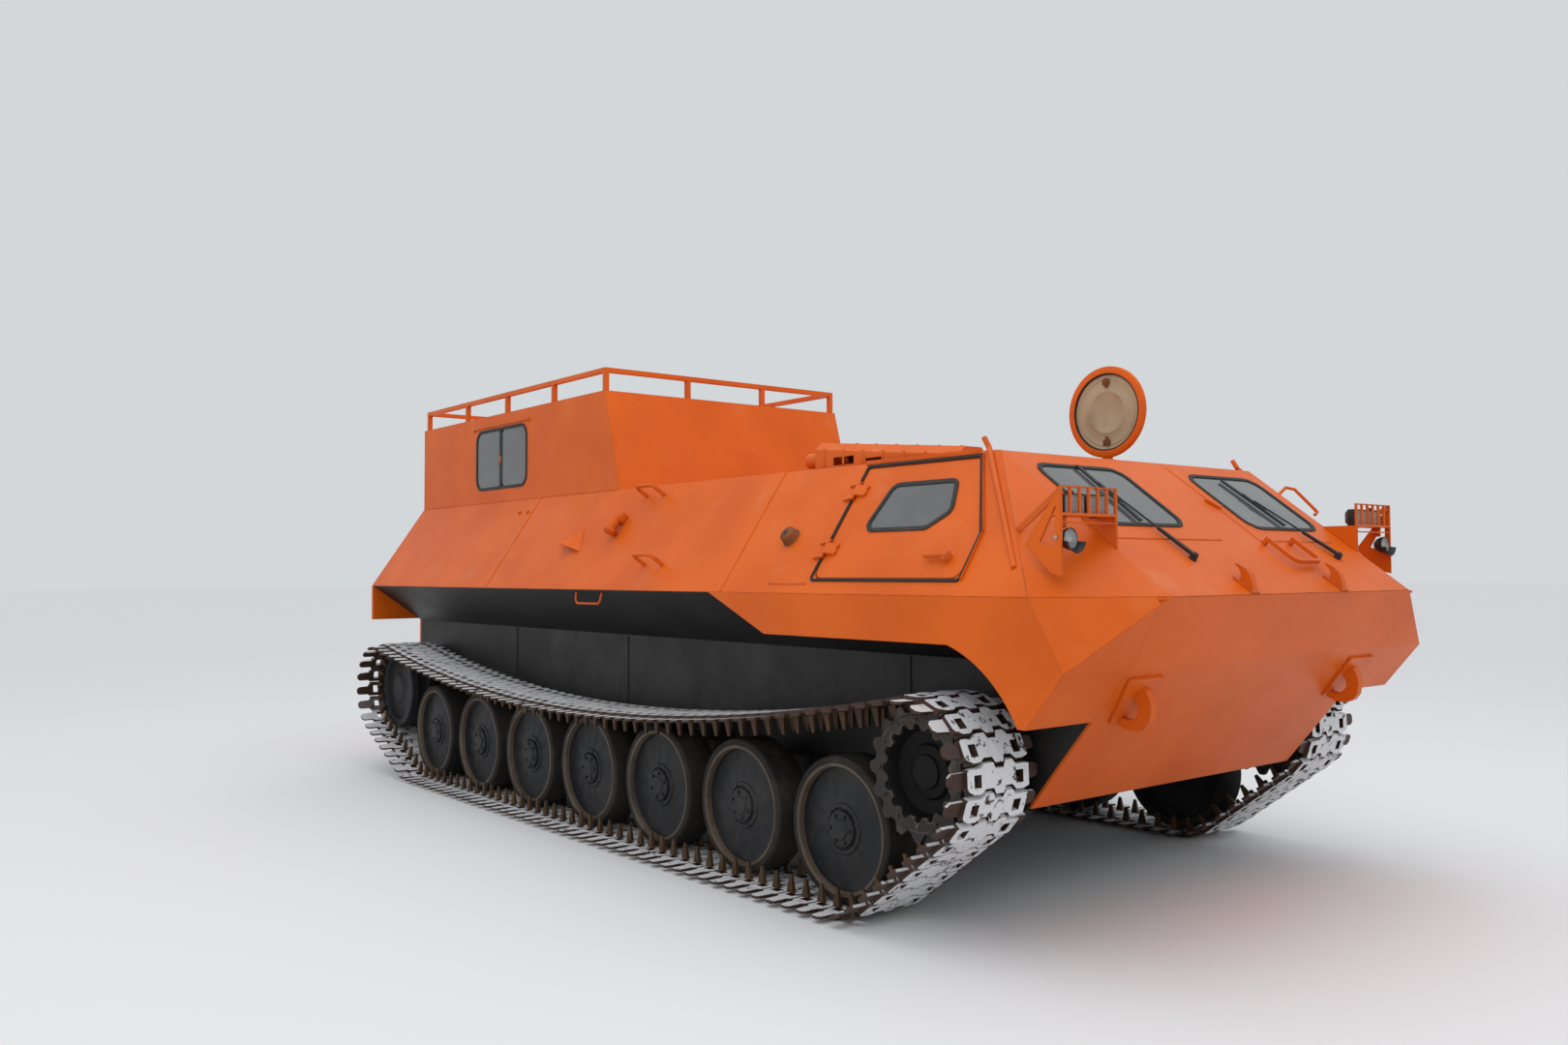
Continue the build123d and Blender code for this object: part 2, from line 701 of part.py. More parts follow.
# Roof rail of bars on posts, around the cabin roof
rail_height = 155.0
rail_bar = 32.0
rail_inset = 25.0
rail_posts = (4280, 4990, 5720, 6420, 7180)
rail_cross_posts = (-325.0, 325.0)
rail_y = roof_y - rail_inset
rail_end_posts = (rail_posts[0], rail_posts[-1])
with BuildPart() as roof_rail:
    with BuildSketch(Plane.XY.offset(cabin_top_z + rail_height - rail_bar)):
        with Locations((station((rail_posts[0] + rail_posts[-1]) / 2), 0)):
            Rectangle(rail_posts[-1] - rail_posts[0] + rail_bar, 2 * rail_y + rail_bar)
            Rectangle(rail_posts[-1] - rail_posts[0] - rail_bar, 2 * rail_y - rail_bar, mode=Mode.SUBTRACT)
    extrude(amount=rail_bar)
    with BuildSketch(Plane.XY.offset(cabin_top_z)):
        with Locations(*[(station(back), side * rail_y) for back in rail_posts for side in (-1, 1)]):
            Rectangle(rail_bar, rail_bar)
        with Locations(*[(station(back), y) for back in rail_end_posts for y in rail_cross_posts]):
            Rectangle(rail_bar, rail_bar)
    extrude(amount=rail_height - rail_bar)
save(roof_rail, "roof_rail")

# Hatch lid, standing open on the coaming's left edge: a rim around a sunk pan with two latches
lid_radius = coaming_outer + 8
lid_sides = 30
lid_rim = 40.0
lid_pan_depth = 12.0
lid_latch = (46.0, 30.0, 16.0)
lid_latch_reach = 165.0
lid_rise = hatch_hinge_y - hatch_y
lid_inner_y = hatch_hinge_y - lid_thick / 2
lid_middle = (station(hatch_back), hatch_hinge_z + lid_rise)
with BuildPart() as hatch_lid:
    with BuildSketch(Plane.XZ.offset(-lid_inner_y)):
        with Locations(lid_middle):
            RegularPolygon(lid_radius, lid_sides)
    extrude(amount=-lid_thick)
    with BuildSketch(Plane.XZ.offset(-lid_inner_y)):
        with Locations(lid_middle):
            RegularPolygon(lid_radius - lid_rim, lid_sides)
    extrude(amount=-lid_pan_depth, mode=Mode.SUBTRACT)
    with BuildSketch(Plane.XZ.offset(-lid_inner_y - lid_pan_depth)):
        with Locations(*[(lid_middle[0], lid_middle[1] + end * lid_latch_reach) for end in (-1, 1)]):
            Rectangle(lid_latch[0], lid_latch[1])
    extrude(amount=lid_latch[2])
    with BuildSketch(Plane.YZ.offset(station(hatch_back) - hatch_knuckle / 2)):
        with Locations((hatch_hinge_y, hatch_hinge_z + (lid_rise - lid_radius + hinge_radius) / 2)):
            Rectangle(2 * hinge_radius, lid_rise - lid_radius + 3 * hinge_radius)
        with Locations((hatch_hinge_y, hatch_hinge_z)):
            RegularPolygon(pin_radius + pin_clear, bore_sides, major_radius=False, mode=Mode.SUBTRACT)
    extrude(amount=hatch_knuckle)
save(hatch_lid, "hatch_lid")

# Engine lid in the roof
with BuildPart() as engine_lid:
    with BuildSketch(Plane.XY.offset(roof_z)):
        with Locations((station(engine_lid_back), 0)):
            Rectangle(engine_lid_length - 2 * lid_gap, engine_lid_width - 2 * lid_gap)
    extrude(amount=-skin)
    for y in lid_hinge_ys:
        add(hinge_knuckle(lid_hinge_plane(y)))
save(engine_lid, "engine_lid")

# The fixed halves of all door and lid hinges
with BuildPart() as hinges:
    for side in (-1, 1):
        for up in side_hinge_ups:
            add(hinge_ears(side_hinge_plane(side, up)))
        for height in leaf_hinge_heights:
            add(hinge_ears(leaf_hinge_plane(side, height)))
    for y in lid_hinge_ys:
        add(hinge_ears(lid_hinge_plane(y)))
save(hinges, "hinges")

# Engine with its gearbox as one plain block on four feet, under the engine lid
engine_length = 900.0
engine_width = 900.0
engine_height = 850.0
engine_foot = 80.0
engine_foot_height = 60.0
engine_foot_spacing = 700.0
engine_back = engine_lid_back + 50.0
bay_clear = 150.0
bulkhead_thick = 20.0
with BuildPart() as engine_block:
    with BuildSketch(Plane.XY.offset(floor_z + plate + engine_foot_height)):
        with Locations((station(engine_back), 0)):
            Rectangle(engine_length, engine_width)
    extrude(amount=engine_height)
    with BuildSketch(Plane.XY.offset(floor_z + plate)):
        with Locations((station(engine_back), 0)):
            with GridLocations(engine_foot_spacing, engine_foot_spacing, 2, 2):
                Rectangle(engine_foot, engine_foot)
    extrude(amount=engine_foot_height)
save(engine_block, "engine_block")

# Bulkheads in front of and behind the engine bay, cut to the inside of the hull
bay_front_back = engine_back - engine_length / 2 - bay_clear
bay_rear_back = engine_back + engine_length / 2 + bay_clear
tub_inner = tub_block(plate, 0)
with BuildPart() as hull_inside:
    add(tub_inner)
    add(upper_inner)
    with BuildSketch(Plane.XY.offset(waist_z - 2)):
        with Locations((nose_x - hull_length / 2, 0)):
            Rectangle(hull_length, 2 * (waist_y - 2 * skin))
    extrude(amount=4)
with BuildPart() as bulkheads:
    for back in (bay_front_back, bay_rear_back):
        with BuildSketch(Plane.YZ.offset(station(back))):
            with Locations((0, (floor_z + roof_z) / 2)):
                Rectangle(2 * waist_y, roof_z - floor_z)
        extrude(amount=bulkhead_thick)
    add(hull_inside.part, mode=Mode.INTERSECT)
save(bulkheads, "bulkheads")

# Cab seats on pedestals. Columns of the side view: distance behind the seat's middle, height
seat_y = 520.0
seat_width = 460.0
seat_back = 1740.0
seat_base_z = 1300.0
seat_foot = (380.0, 360.0)
seat_profile = ((-240, 1300), (-260, 1420), (160, 1400), (270, 1900), (380, 1880), (270, 1280))
with BuildPart() as cab_seats:
    for y in (-seat_y, seat_y):
        with BuildSketch(Plane.XZ.offset(-(y - seat_width / 2))):
            with BuildLine():
                Polyline(*[(station(seat_back + back), z) for back, z in seat_profile], close=True)
            make_face()
        extrude(amount=-seat_width)
        with BuildSketch(Plane.XY.offset(floor_z + plate)):
            with Locations((station(seat_back), y)):
                Rectangle(*seat_foot)
        extrude(amount=seat_base_z - floor_z - plate)
save(cab_seats, "cab_seats")

# Instrument panel, carried by its shelf on the deck's inner face
panel_y = 850.0
panel_shelf_z = 1560.0
panel_thick = 20.0
panel_front_back = 860.0
panel_depth = 190.0
panel_drop = 200.0
panel_top_rise = 50.0


def deck_inside_back(z):
    """Distance behind the nose edge of the deck's inner face at a height."""
    return ((z - waist_z) * roof_front + skin * deck_length) / slope_rise


with BuildPart() as cab_controls:
    with BuildSketch(Plane.XZ.offset(panel_y)):
        with BuildLine():
            Polyline((station(panel_front_back), panel_shelf_z - panel_drop),
                     (station(panel_front_back + panel_depth / 2), panel_shelf_z - panel_drop),
                     (station(panel_front_back + panel_depth), panel_shelf_z),
                     (station(panel_front_back + panel_depth / 2), panel_shelf_z + panel_top_rise),
                     (station(panel_front_back), panel_shelf_z),
                     (station(deck_inside_back(panel_shelf_z)), panel_shelf_z),
                     (station(deck_inside_back(panel_shelf_z - panel_thick)), panel_shelf_z - panel_thick),
                     (station(panel_front_back), panel_shelf_z - panel_thick), close=True)
        make_face()
    extrude(amount=-2 * panel_y)
save(cab_controls, "cab_controls")

# Benches along the cabin sides, from the rear wall's doorway to the cabin's front
bench_clear = 400.0
bench_depth = 449.0
bench_z = 1090.0
bench_thick = 80.0
bench_leg = (60.0, 380.0)
bench_leg_inset = 200.0
bench_front_back = cabin_front_base + bench_clear
bench_rear_back = hull_length - bench_clear
bench_middle = (bench_front_back + bench_rear_back) / 2
bench_legs = (bench_front_back + bench_leg_inset, bench_middle, bench_rear_back - bench_leg_inset)
bench_y = hull_y - plate - shell_gap - bench_depth / 2
with BuildPart() as cabin_benches:
    for side in (-1, 1):
        with BuildSketch(Plane.XY.offset(bench_z)):
            with Locations((station(bench_middle), side * bench_y)):
                Rectangle(bench_rear_back - bench_front_back, bench_depth)
        extrude(amount=bench_thick)
        with BuildSketch(Plane.XY.offset(floor_z + plate)):
            with Locations(*[(station(back), side * bench_y) for back in bench_legs]):
                Rectangle(*bench_leg)
        extrude(amount=bench_z - floor_z - plate)
save(cabin_benches, "cabin_benches")

# Exhaust guard along the right edge of the roof: an angular hood, higher and open at its rear
guard_y = -870.0
guard_width = 190.0
guard_front_back = 1124.0
guard_rear_back = 2150.0
guard_front_height = 45.0
guard_rear_height = 145.0
guard_ease = 40.0
guard_plate = 5.0
guard_slots = ((1850.0, 2006.0, 2092.0, 2133.0), (1630.0, 1763.0, 2086.0, 2112.0))


def guard_block(inset):
    """Hood over the exhaust, its front, top and sides moved in by the inset."""
    top = roof_z - inset
    outer = guard_width / 2
    with BuildPart() as block:
        with BuildSketch(Plane.XZ.offset(outer - inset - guard_y)):
            with BuildLine():
                Polyline((station(guard_front_back + inset), roof_z - inset),
                         (station(guard_front_back + inset), top + guard_front_height),
                         (station(guard_rear_back + inset), top + guard_rear_height),
                         (station(guard_rear_back + inset), roof_z - inset), close=True)
            make_face()
        extrude(amount=2 * inset - guard_width)
        for side in (-1, 1):
            edge_y = guard_y + side * outer
            rear = (station(guard_rear_back), edge_y, roof_z + guard_rear_height - guard_ease)
            front = (station(guard_front_back), edge_y, roof_z + guard_front_height - guard_ease)
            crest = (station(guard_rear_back), edge_y - side * guard_ease, roof_z + guard_rear_height)
            chamfer_face = facet(rear, front, crest) if side < 0 else facet(rear, crest, front)
            split(bisect_by=chamfer_face.offset(-inset), keep=Keep.BOTTOM)
    return block.part


with BuildPart() as exhaust_guard:
    add(guard_block(0))
    add(guard_block(guard_plate), mode=Mode.SUBTRACT)
    with BuildSketch(Plane.XZ.offset(guard_width - guard_y)):
        for near, far, low, high in guard_slots:
            with Locations((station((near + far) / 2), (low + high) / 2)):
                Rectangle(far - near, high - low)
    extrude(amount=-guard_width, mode=Mode.SUBTRACT)
save(exhaust_guard, "exhaust_guard")

# Exhaust pipe out of the guard's rear, on a foot on the roof
pipe_radius = 41.0
pipe_wall = 5.0
pipe_sides = 20
pipe_lift = 60.0
pipe_front_back = 1960.0
pipe_rear_back = 2300.0
pipe_foot = 60.0
with BuildPart() as exhaust_pipe:
    with BuildSketch(Plane.YZ.offset(station(pipe_rear_back))):
        with Locations((guard_y, roof_z + pipe_lift)):
            RegularPolygon(pipe_radius, pipe_sides)
            RegularPolygon(pipe_radius - pipe_wall, pipe_sides, mode=Mode.SUBTRACT)
    extrude(amount=pipe_rear_back - pipe_front_back)
    with BuildSketch(Plane.XY.offset(roof_z)):
        with Locations((station(pipe_front_back + pipe_foot), guard_y)):
            Rectangle(pipe_foot, pipe_foot)
    extrude(amount=pipe_lift - pipe_radius + pipe_wall / 2)
save(exhaust_pipe, "exhaust_pipe")

# Lamp cages on the front corners: a barred front, an outer and an inner side plate, a shelf and a strut
cage_back = 249.0
cage_depth = 95.0
cage_plate = 10.0
cage_inner_y = 980.0
cage_outer_y = 1337.0
cage_foot_z = 1732.0
cage_low_z = 1766.0
cage_top_z = 1877.0
cage_bars = 5
cage_bar = 12.0
outer_plate = ((249, 1877), (249, 1524), (300, 1535), (430, 1650))
outer_hole = ((275, 1800), (275, 1640), (355, 1660))
inner_plate = ((249, 1766), (249, 1550), (428, 1766))
strut_top = (255.0, 1325.0, 1862.0)
strut_foot = (560.0, 1240.0, 1700.0)
strut_width = 26.0
strut_thick = 6.0
cage_length = cage_outer_y - cage_inner_y
cage_step = (cage_length - cage_bar) / (cage_bars + 1)
slot_ys = [cage_inner_y + cage_bar / 2 + cage_step * (number + 0.5) for number in range(cage_bars + 1)]
with BuildPart() as lamp_guards:
    for side in (-1, 1):
        with BuildSketch(Plane.YZ.offset(station(cage_back + cage_plate))):
            with Locations((side * (cage_inner_y + cage_outer_y) / 2, (cage_foot_z + cage_top_z) / 2)):
                Rectangle(cage_length, cage_top_z - cage_foot_z)
            with Locations((side * (cage_inner_y + cage_outer_y) / 2, (cage_foot_z + cage_low_z) / 2)):
                Rectangle(cage_length - 2 * cage_bar, cage_low_z - cage_foot_z - cage_bar, mode=Mode.SUBTRACT)
            with Locations(*[(side * y, (cage_low_z + cage_top_z) / 2) for y in slot_ys]):
                Rectangle(cage_step - cage_bar, cage_top_z - cage_low_z - cage_bar, mode=Mode.SUBTRACT)
        extrude(amount=cage_plate)
        with BuildSketch(Plane.XY.offset(cage_low_z - cage_bar / 2)):
            with Locations((station(cage_back + cage_depth / 2), side * (cage_inner_y + cage_outer_y) / 2)):
                Rectangle(cage_depth, cage_length)
        extrude(amount=cage_bar / 2)
        with BuildSketch(Plane.XZ.offset(-side * (cage_outer_y - cage_plate))):
            with BuildLine():
                Polyline(*[(station(back), z) for back, z in outer_plate], close=True)
            make_face()
            with BuildLine():
                Polyline(*[(station(back), z) for back, z in outer_hole], close=True)
            make_face(mode=Mode.SUBTRACT)
        extrude(amount=-side * cage_plate)
        with BuildSketch(Plane.XZ.offset(-side * cage_inner_y)):
            with BuildLine():
                Polyline(*[(station(back), z) for back, z in inner_plate], close=True)
            make_face()
        extrude(amount=-side * cage_plate)
        start = Vector(station(strut_top[0]), side * strut_top[1], strut_top[2])
        end = Vector(station(strut_foot[0]), side * strut_foot[1], strut_foot[2])
        with BuildSketch(Plane(origin=start, x_dir=(0, 1, 0), z_dir=end - start)):
            Rectangle(strut_thick, strut_width)
        extrude(amount=(end - start).length)
    add(upper_outer, mode=Mode.SUBTRACT)
save(lamp_guards, "lamp_guards")

# Lamps: two boxes on the shelf behind the bars and a round one hung below, on each side
lamp_box = (60.0, 130.0, 84.0)
lamp_places = (1068.0, 1220.0)
lamp_set_back = 14.0
round_lamp_y = 1276.0
round_lamp_z = 1671.0
round_lamp_radius = 43.0
round_lamp_sides = 20
round_lamp_depth = 55.0
lamp_hanger = 24.0
lamp_box_back = cage_back + cage_plate + lamp_set_back + lamp_box[0] / 2
with BuildPart() as lamps:
    for side in (-1, 1):
        with BuildSketch(Plane.XY.offset(cage_low_z)):
            with Locations(*[(station(lamp_box_back), side * y) for y in lamp_places]):
                Rectangle(lamp_box[0], lamp_box[1])
        extrude(amount=lamp_box[2])
        with BuildSketch(Plane.YZ.offset(station(cage_back + round_lamp_depth))):
            with Locations((side * round_lamp_y, round_lamp_z)):
                RegularPolygon(round_lamp_radius, round_lamp_sides)
        extrude(amount=round_lamp_depth)
        with BuildSketch(Plane.XY.offset(round_lamp_z)):
            with Locations((station(cage_back + cage_plate + lamp_hanger), side * round_lamp_y)):
                Rectangle(lamp_hanger, lamp_hanger)
        extrude(amount=cage_low_z - cage_bar / 2 - round_lamp_z)
save(lamps, "lamps")

# Wipers on the deck. Columns: pivot, blade foot, blade top, each a distance behind the nose edge
# and one to the left
wiper_places = (((198, -540), (410, -606), (760, -587)), ((208, 694), (411, 572), (731, 539)))
wiper_pivot = 16.0
wiper_arm = 14.0
wiper_blade = 18.0
wiper_lift = 14.0


def deck_bar(start, end, width):
    """Straight bar outline in the deck plane between two places."""
    ends = [Vector(back * deck_length / roof_front, -y) for back, y in (start, end)]
    run = ends[1] - ends[0]
    middle = (ends[0] + ends[1]) / 2
    with BuildSketch() as outline:
        with Locations((middle.X, middle.Y)):
            Rectangle(run.length + width, width, rotation=degrees(atan2(run.Y, run.X)))
    return outline.sketch


with BuildPart() as wipers:
    for pivot, foot, top in wiper_places:
        middle = ((foot[0] + top[0]) / 2, (foot[1] + top[1]) / 2)
        with BuildSketch(deck_plane.offset(wiper_lift)):
            add(deck_bar(pivot, middle, wiper_arm))
        extrude(amount=wiper_lift)
        with BuildSketch(deck_plane.offset(seal_proud)):
            add(deck_bar(foot, top, wiper_blade))
        extrude(amount=wiper_lift)
        with BuildSketch(deck_plane):
            with Locations((pivot[0] * deck_length / roof_front, -pivot[1])):
                RegularPolygon(wiper_pivot, bore_sides)
        extrude(amount=2 * wiper_lift)
save(wipers, "wipers")

# Rear coupling: a base plate and two ears with an upright bore
coupling_z = 760.0
coupling_base = (170.0, 150.0, 12.0)
coupling_bore = 14.0
coupling_ear = 22.0
coupling_mouth = 46.0
coupling_width = 76.0

# Towing hooks. Columns of the side views: distance behind the nose edge, height.
# Columns of the pad: distance outwards from the hook, distance up the bow
bow_hook_y = 850.0
bow_hook_thick = 42.0
bow_hook = ((245, 1086), (207, 1062), (188, 1020), (184, 980), (193, 938), (216, 908), (252, 893), (300, 896),
            (346, 917), (330, 943), (290, 936), (262, 946), (245, 970), (246, 1004), (268, 1032))
bow_pad = ((-80, -49), (-60, -300), (70, -300), (150, -49))
bow_pad_thick = 12.0
deck_hook_places = (-381.0, 365.0)
deck_hook_thick = 34.0
deck_hook = ((6, 1444), (10, 1490), (22, 1528), (44, 1556), (74, 1572), (92, 1574), (72, 1556), (62, 1536),
             (62, 1514), (76, 1488))
deck_pad = (110.0, 60.0, 8.0)
with BuildPart() as towing:
    for side in (-1, 1):
        with BuildSketch(Plane.XZ.offset(bow_hook_thick / 2 - side * bow_hook_y)):
            with BuildLine():
                Polyline(*[(station(back), z) for back, z in bow_hook], close=True)
            make_face()
        extrude(amount=-bow_hook_thick)
        pad_spot = (station(seam_step), side * bow_hook_y, seam_z)
        with BuildSketch(Plane(origin=pad_spot, x_dir=(0, 1, 0), z_dir=bow_face.z_dir)):
            with BuildLine():
                Polyline(*[(side * out, down) for out, down in bow_pad], close=True)
            make_face()
        extrude(amount=bow_pad_thick)
    for y in deck_hook_places:
        with BuildSketch(Plane.XZ.offset(deck_hook_thick / 2 - y)):
            with BuildLine():
                Polyline(*[(station(back), z) for back, z in deck_hook], close=True)
            make_face()
        extrude(amount=-deck_hook_thick)
        with BuildSketch(deck_plane):
            with Locations((deck_pad[0] / 2 + deck_hook[0][0], -y)):
                Rectangle(deck_pad[0], deck_pad[1])
        extrude(amount=deck_pad[2])
    add(upper_outer, mode=Mode.SUBTRACT)
    add(bow_block(0, waist_y, cheek_faces), mode=Mode.SUBTRACT)
    split(bisect_by=Plane.YZ.offset(nose_x), keep=Keep.BOTTOM)
    with BuildSketch(Plane.YZ.offset(tail_x - coupling_base[2])):
        with Locations((0, coupling_z)):
            Rectangle(coupling_base[0], coupling_base[1])
    extrude(amount=coupling_base[2])
    for low in (coupling_z - coupling_mouth / 2 - coupling_ear, coupling_z + coupling_mouth / 2):
        with BuildSketch(Plane.XY.offset(low)):
            with Locations((tail_x - coupling_reach / 2, 0)):
                Rectangle(coupling_reach, coupling_width)
                with Locations((-coupling_bore / 4, 0)):
                    Circle(coupling_bore, mode=Mode.SUBTRACT)
        extrude(amount=coupling_ear)
save(towing, "towing")

# Hand bars: a stand-off bar beside each door, loops on the slopes and one on the deck
bar_radius = 13.0
bar_sides = 8
bar_route = ((940, 1000, 2142), (912, 1000, 2097), (463, 1361, 1559))
loop_rod = 18.0
loop_corner = 40.0
loop_reach = 115.0
slope_loops = ((3558.0, 689.0, 209.0), (3126.0, 174.0, 201.0))
deck_loop = (300.0, 300.0, 245.0, 190.0)
deck_loop_lift = 40.0


def loop_outline(length, reach):
    """Loop standing on the x axis of its plane, which points outwards along y."""
    half = length / 2
    outer = ((-half, 0), (half, 0), (half, reach), (-half, reach))
    bare = half - loop_rod
    inner = ((-bare, 0), (bare, 0), (bare, reach - loop_rod), (loop_rod - half, reach - loop_rod))
    with BuildSketch() as outline:
        with BuildLine():
            Polyline(*eased(outer, (0, 0, loop_corner, loop_corner), 2), close=True)
        make_face()
        with BuildLine():
            Polyline(*eased(inner, (0, 0, loop_corner - loop_rod, loop_corner - loop_rod), 2), close=True)
        make_face(mode=Mode.SUBTRACT)
    return outline.sketch


with BuildPart() as hand_bars:
    for side in (-1, 1):
        for first, second in zip(bar_route, bar_route[1:]):
            start = Vector(station(first[0]), side * first[1], first[2])
            end = Vector(station(second[0]), side * second[1], second[2])
            with BuildSketch(Plane(origin=start, z_dir=end - start)):
                RegularPolygon(bar_radius, bar_sides)
            extrude(amount=(end - start).length)
        frame = slope_plane(side)
        for back, up, length in slope_loops:
            spot = frame.from_local_coords((up + loop_rod / 2, -side * back, 0))
            with BuildSketch(Plane(origin=spot, x_dir=(1, 0, 0), z_dir=Vector(1, 0, 0).cross(frame.z_dir))):
                add(loop_outline(length, loop_reach))
            extrude(amount=loop_rod)
    up_deck = deck_loop[0] * deck_length / roof_front
    spot = deck_plane.from_local_coords((up_deck, -deck_loop[1], deck_loop_lift))
    loop_plane = Plane(origin=spot, x_dir=(0, 1, 0), z_dir=-1 * deck_plane.z_dir)
    with BuildSketch(loop_plane):
        add(loop_outline(deck_loop[2], deck_loop[3]))
    extrude(amount=loop_rod)
    with BuildSketch(loop_plane):
        with Locations(*[(end * (deck_loop[2] - loop_rod) / 2, loop_rod / 2) for end in (-1, 1)]):
            Rectangle(loop_rod, loop_rod)
    extrude(amount=deck_loop_lift)
    add(upper_outer, mode=Mode.SUBTRACT)
save(hand_bars, "hand_bars")

# Fittings on the slopes and the roof: air scoops, capped fillers, breathers and a roof vent
scoop_base = ((4087, 1680), (4208, 1831), (4409, 1770))
scoop_peak = (4263, 1734)
scoop_height = 78.0
scoop_wall = 6.0
filler_back = 3770.0
filler_top_z = 1880.0
filler_foot_z = 1790.0
filler_neck = 30.0
filler_cap = 45.0
filler_cap_thick = 34.0
filler_sides = 12
breather_back = 1995.0
breather_z = 1715.0
breather_radius = 50.0
breather_out = 50.0
roof_vent = (1018.0, -840.0, 72.0, 24.0)


def slope_up(z):
    """Distance up the slope at a height."""
    return (z - waist_z) * slope_length / slope_rise


def scoop_block(side, inset):
    """Three-sided hood over its base on the slope, its two closed faces moved in by the inset."""
    frame = slope_plane(side)
    base = [(slope_up(z), -side * back) for back, z in scoop_base]
    corners = [frame.from_local_coords((x, y, 0)) for x, y in base]
    peak = frame.from_local_coords((slope_up(scoop_peak[1]), -side * scoop_peak[0], scoop_height))
    with BuildPart() as block:
        with BuildSketch(frame.offset(-inset)):
            with BuildLine():
                Polyline(*base, close=True)
            make_face()
        extrude(amount=scoop_height + inset)
        for first, second in ((0, 1), (1, 2)):
            if side < 0:
                first, second = second, first
            face = facet(tuple(corners[first]), tuple(corners[second]), tuple(peak))
            split(bisect_by=face.offset(-inset), keep=Keep.BOTTOM)
    return block.part


with BuildPart() as fittings:
    for side in (-1, 1):
        add(scoop_block(side, 0))
    for side in (-1, 1):
        add(scoop_block(side, scoop_wall).moved(Pos(-scoop_wall, 0, -scoop_wall)), mode=Mode.SUBTRACT)
    for side in (-1, 1):
        frame = slope_plane(side)
        for low_z, length, radius in ((filler_top_z, filler_top_z - filler_foot_z, filler_neck),
                                      (filler_foot_z, filler_cap_thick, filler_cap)):
            spot = frame.from_local_coords((slope_up(low_z), -side * filler_back, filler_cap))
            with BuildSketch(Plane(origin=spot, x_dir=(1, 0, 0), z_dir=-1 * frame.x_dir)):
                RegularPolygon(radius, filler_sides)
            extrude(amount=length * slope_length / slope_rise)
        with BuildSketch(frame):
            with Locations((slope_up(filler_top_z), -side * filler_back)):
                Rectangle(2 * filler_neck, 2 * filler_neck)
        extrude(amount=filler_cap)
        with BuildSketch(frame):
            with Locations((slope_up(breather_z), -side * breather_back)):
                RegularPolygon(breather_radius, filler_sides)
        extrude(amount=breather_out)
    with BuildSketch(Plane.XY.offset(roof_z)):
        with Locations((station(roof_vent[0]), roof_vent[1])):
            RegularPolygon(roof_vent[2], filler_sides)
    extrude(amount=roof_vent[3])
save(fittings, "fittings")

# Belt around the sprocket, the wheels and the idler, as seen from the right
wheel_backs = [first_wheel_back + wheel_pitch * number for number in range(wheel_count)]
end_ease = 64.0
top_lean = 10.0
sag_clear = 1.5
sag_z = wheel_z + wheel_radius + sag_clear
belt_steps = (14, 1, 4, 1, 4, 1, 14, 12)


def belt_line(a, radius_a, b, radius_b):
    """Ends of the straight run between two circles, on the left of the way from a to b."""
    heading = atan2(b[1] - a[1], b[0] - a[0])
    turn = (radius_b - radius_a) / hypot(b[0] - a[0], b[1] - a[1])
    angle = heading + turn + turn ** 3 / 6
    left = (-sin(angle), cos(angle))
    return ((a[0] + radius_a * left[0], a[1] + radius_a * left[1]),
            (b[0] + radius_b * left[0], b[1] + radius_b * left[1]))


def on_circle(centre, radius, angle):
    return (centre[0] + radius * cos(radians(angle)), centre[1] + radius * sin(radians(angle)))


def middle_of_arc(centre, radius, a, b):
    mid = Vector(a[0] + b[0] - 2 * centre[0], a[1] + b[1] - 2 * centre[1]).normalized()
    return (centre[0] + radius * mid.X, centre[1] + radius * mid.Y)


sprocket_centre = (station(sprocket_back), sprocket_z)
idler_centre = (station(idler_back), idler_z)
bend = wheel_radius + track_clear
front_bend = (station(wheel_backs[0]) + end_ease, wheel_z)
rear_bend = (station(wheel_backs[-1]) - end_ease, wheel_z)
sprocket_top = on_circle(sprocket_centre, sprocket_wrap, 90 + top_lean)
idler_top = on_circle(idler_centre, idler_wrap, 90 - top_lean)
sprocket_off, front_on = belt_line(sprocket_centre, sprocket_wrap, front_bend, bend)
rear_off, idler_on = belt_line(rear_bend, bend, idler_centre, idler_wrap)
front_low = on_circle(front_bend, bend, -90)
rear_low = on_circle(rear_bend, bend, -90)

with BuildLine() as belt:
    ThreePointArc(sprocket_top, middle_of_arc(sprocket_centre, sprocket_wrap, sprocket_top, sprocket_off),
                  sprocket_off)
    Line(sprocket_off, front_on)
    ThreePointArc(front_on, middle_of_arc(front_bend, bend, front_on, front_low), front_low)
    Line(front_low, rear_low)
    ThreePointArc(rear_low, middle_of_arc(rear_bend, bend, rear_low, rear_off), rear_off)
    Line(rear_off, idler_on)
    ThreePointArc(idler_on, middle_of_arc(idler_centre, idler_wrap, idler_on, idler_top), idler_top)
    ThreePointArc(idler_top, ((sprocket_top[0] + idler_top[0]) / 2, sag_z), sprocket_top)
belt_wire = belt.wire()
shoe_count = round(belt_wire.length / shoe_pitch)
inner_points = []
for edge, steps in zip(belt.edges(), belt_steps):
    inner_points += [edge.position_at(step / steps) for step in range(steps)]

# One shoe's side view. Columns: share of the pitch from its middle, height above the belt's inside
shoe_profile = ((-0.38, shoe_plate), (-0.2, shoe_height), (0.16, shoe_height))
outer_points = []
for number in range(shoe_count):
    centre = belt_wire.position_at((number + 0.5) / shoe_count)
    along = belt_wire.tangent_at((number + 0.5) / shoe_count)
    out = Vector(-along.Y, along.X)
    outer_points += [centre + along * (share * shoe_pitch) + out * height for share, height in shoe_profile]

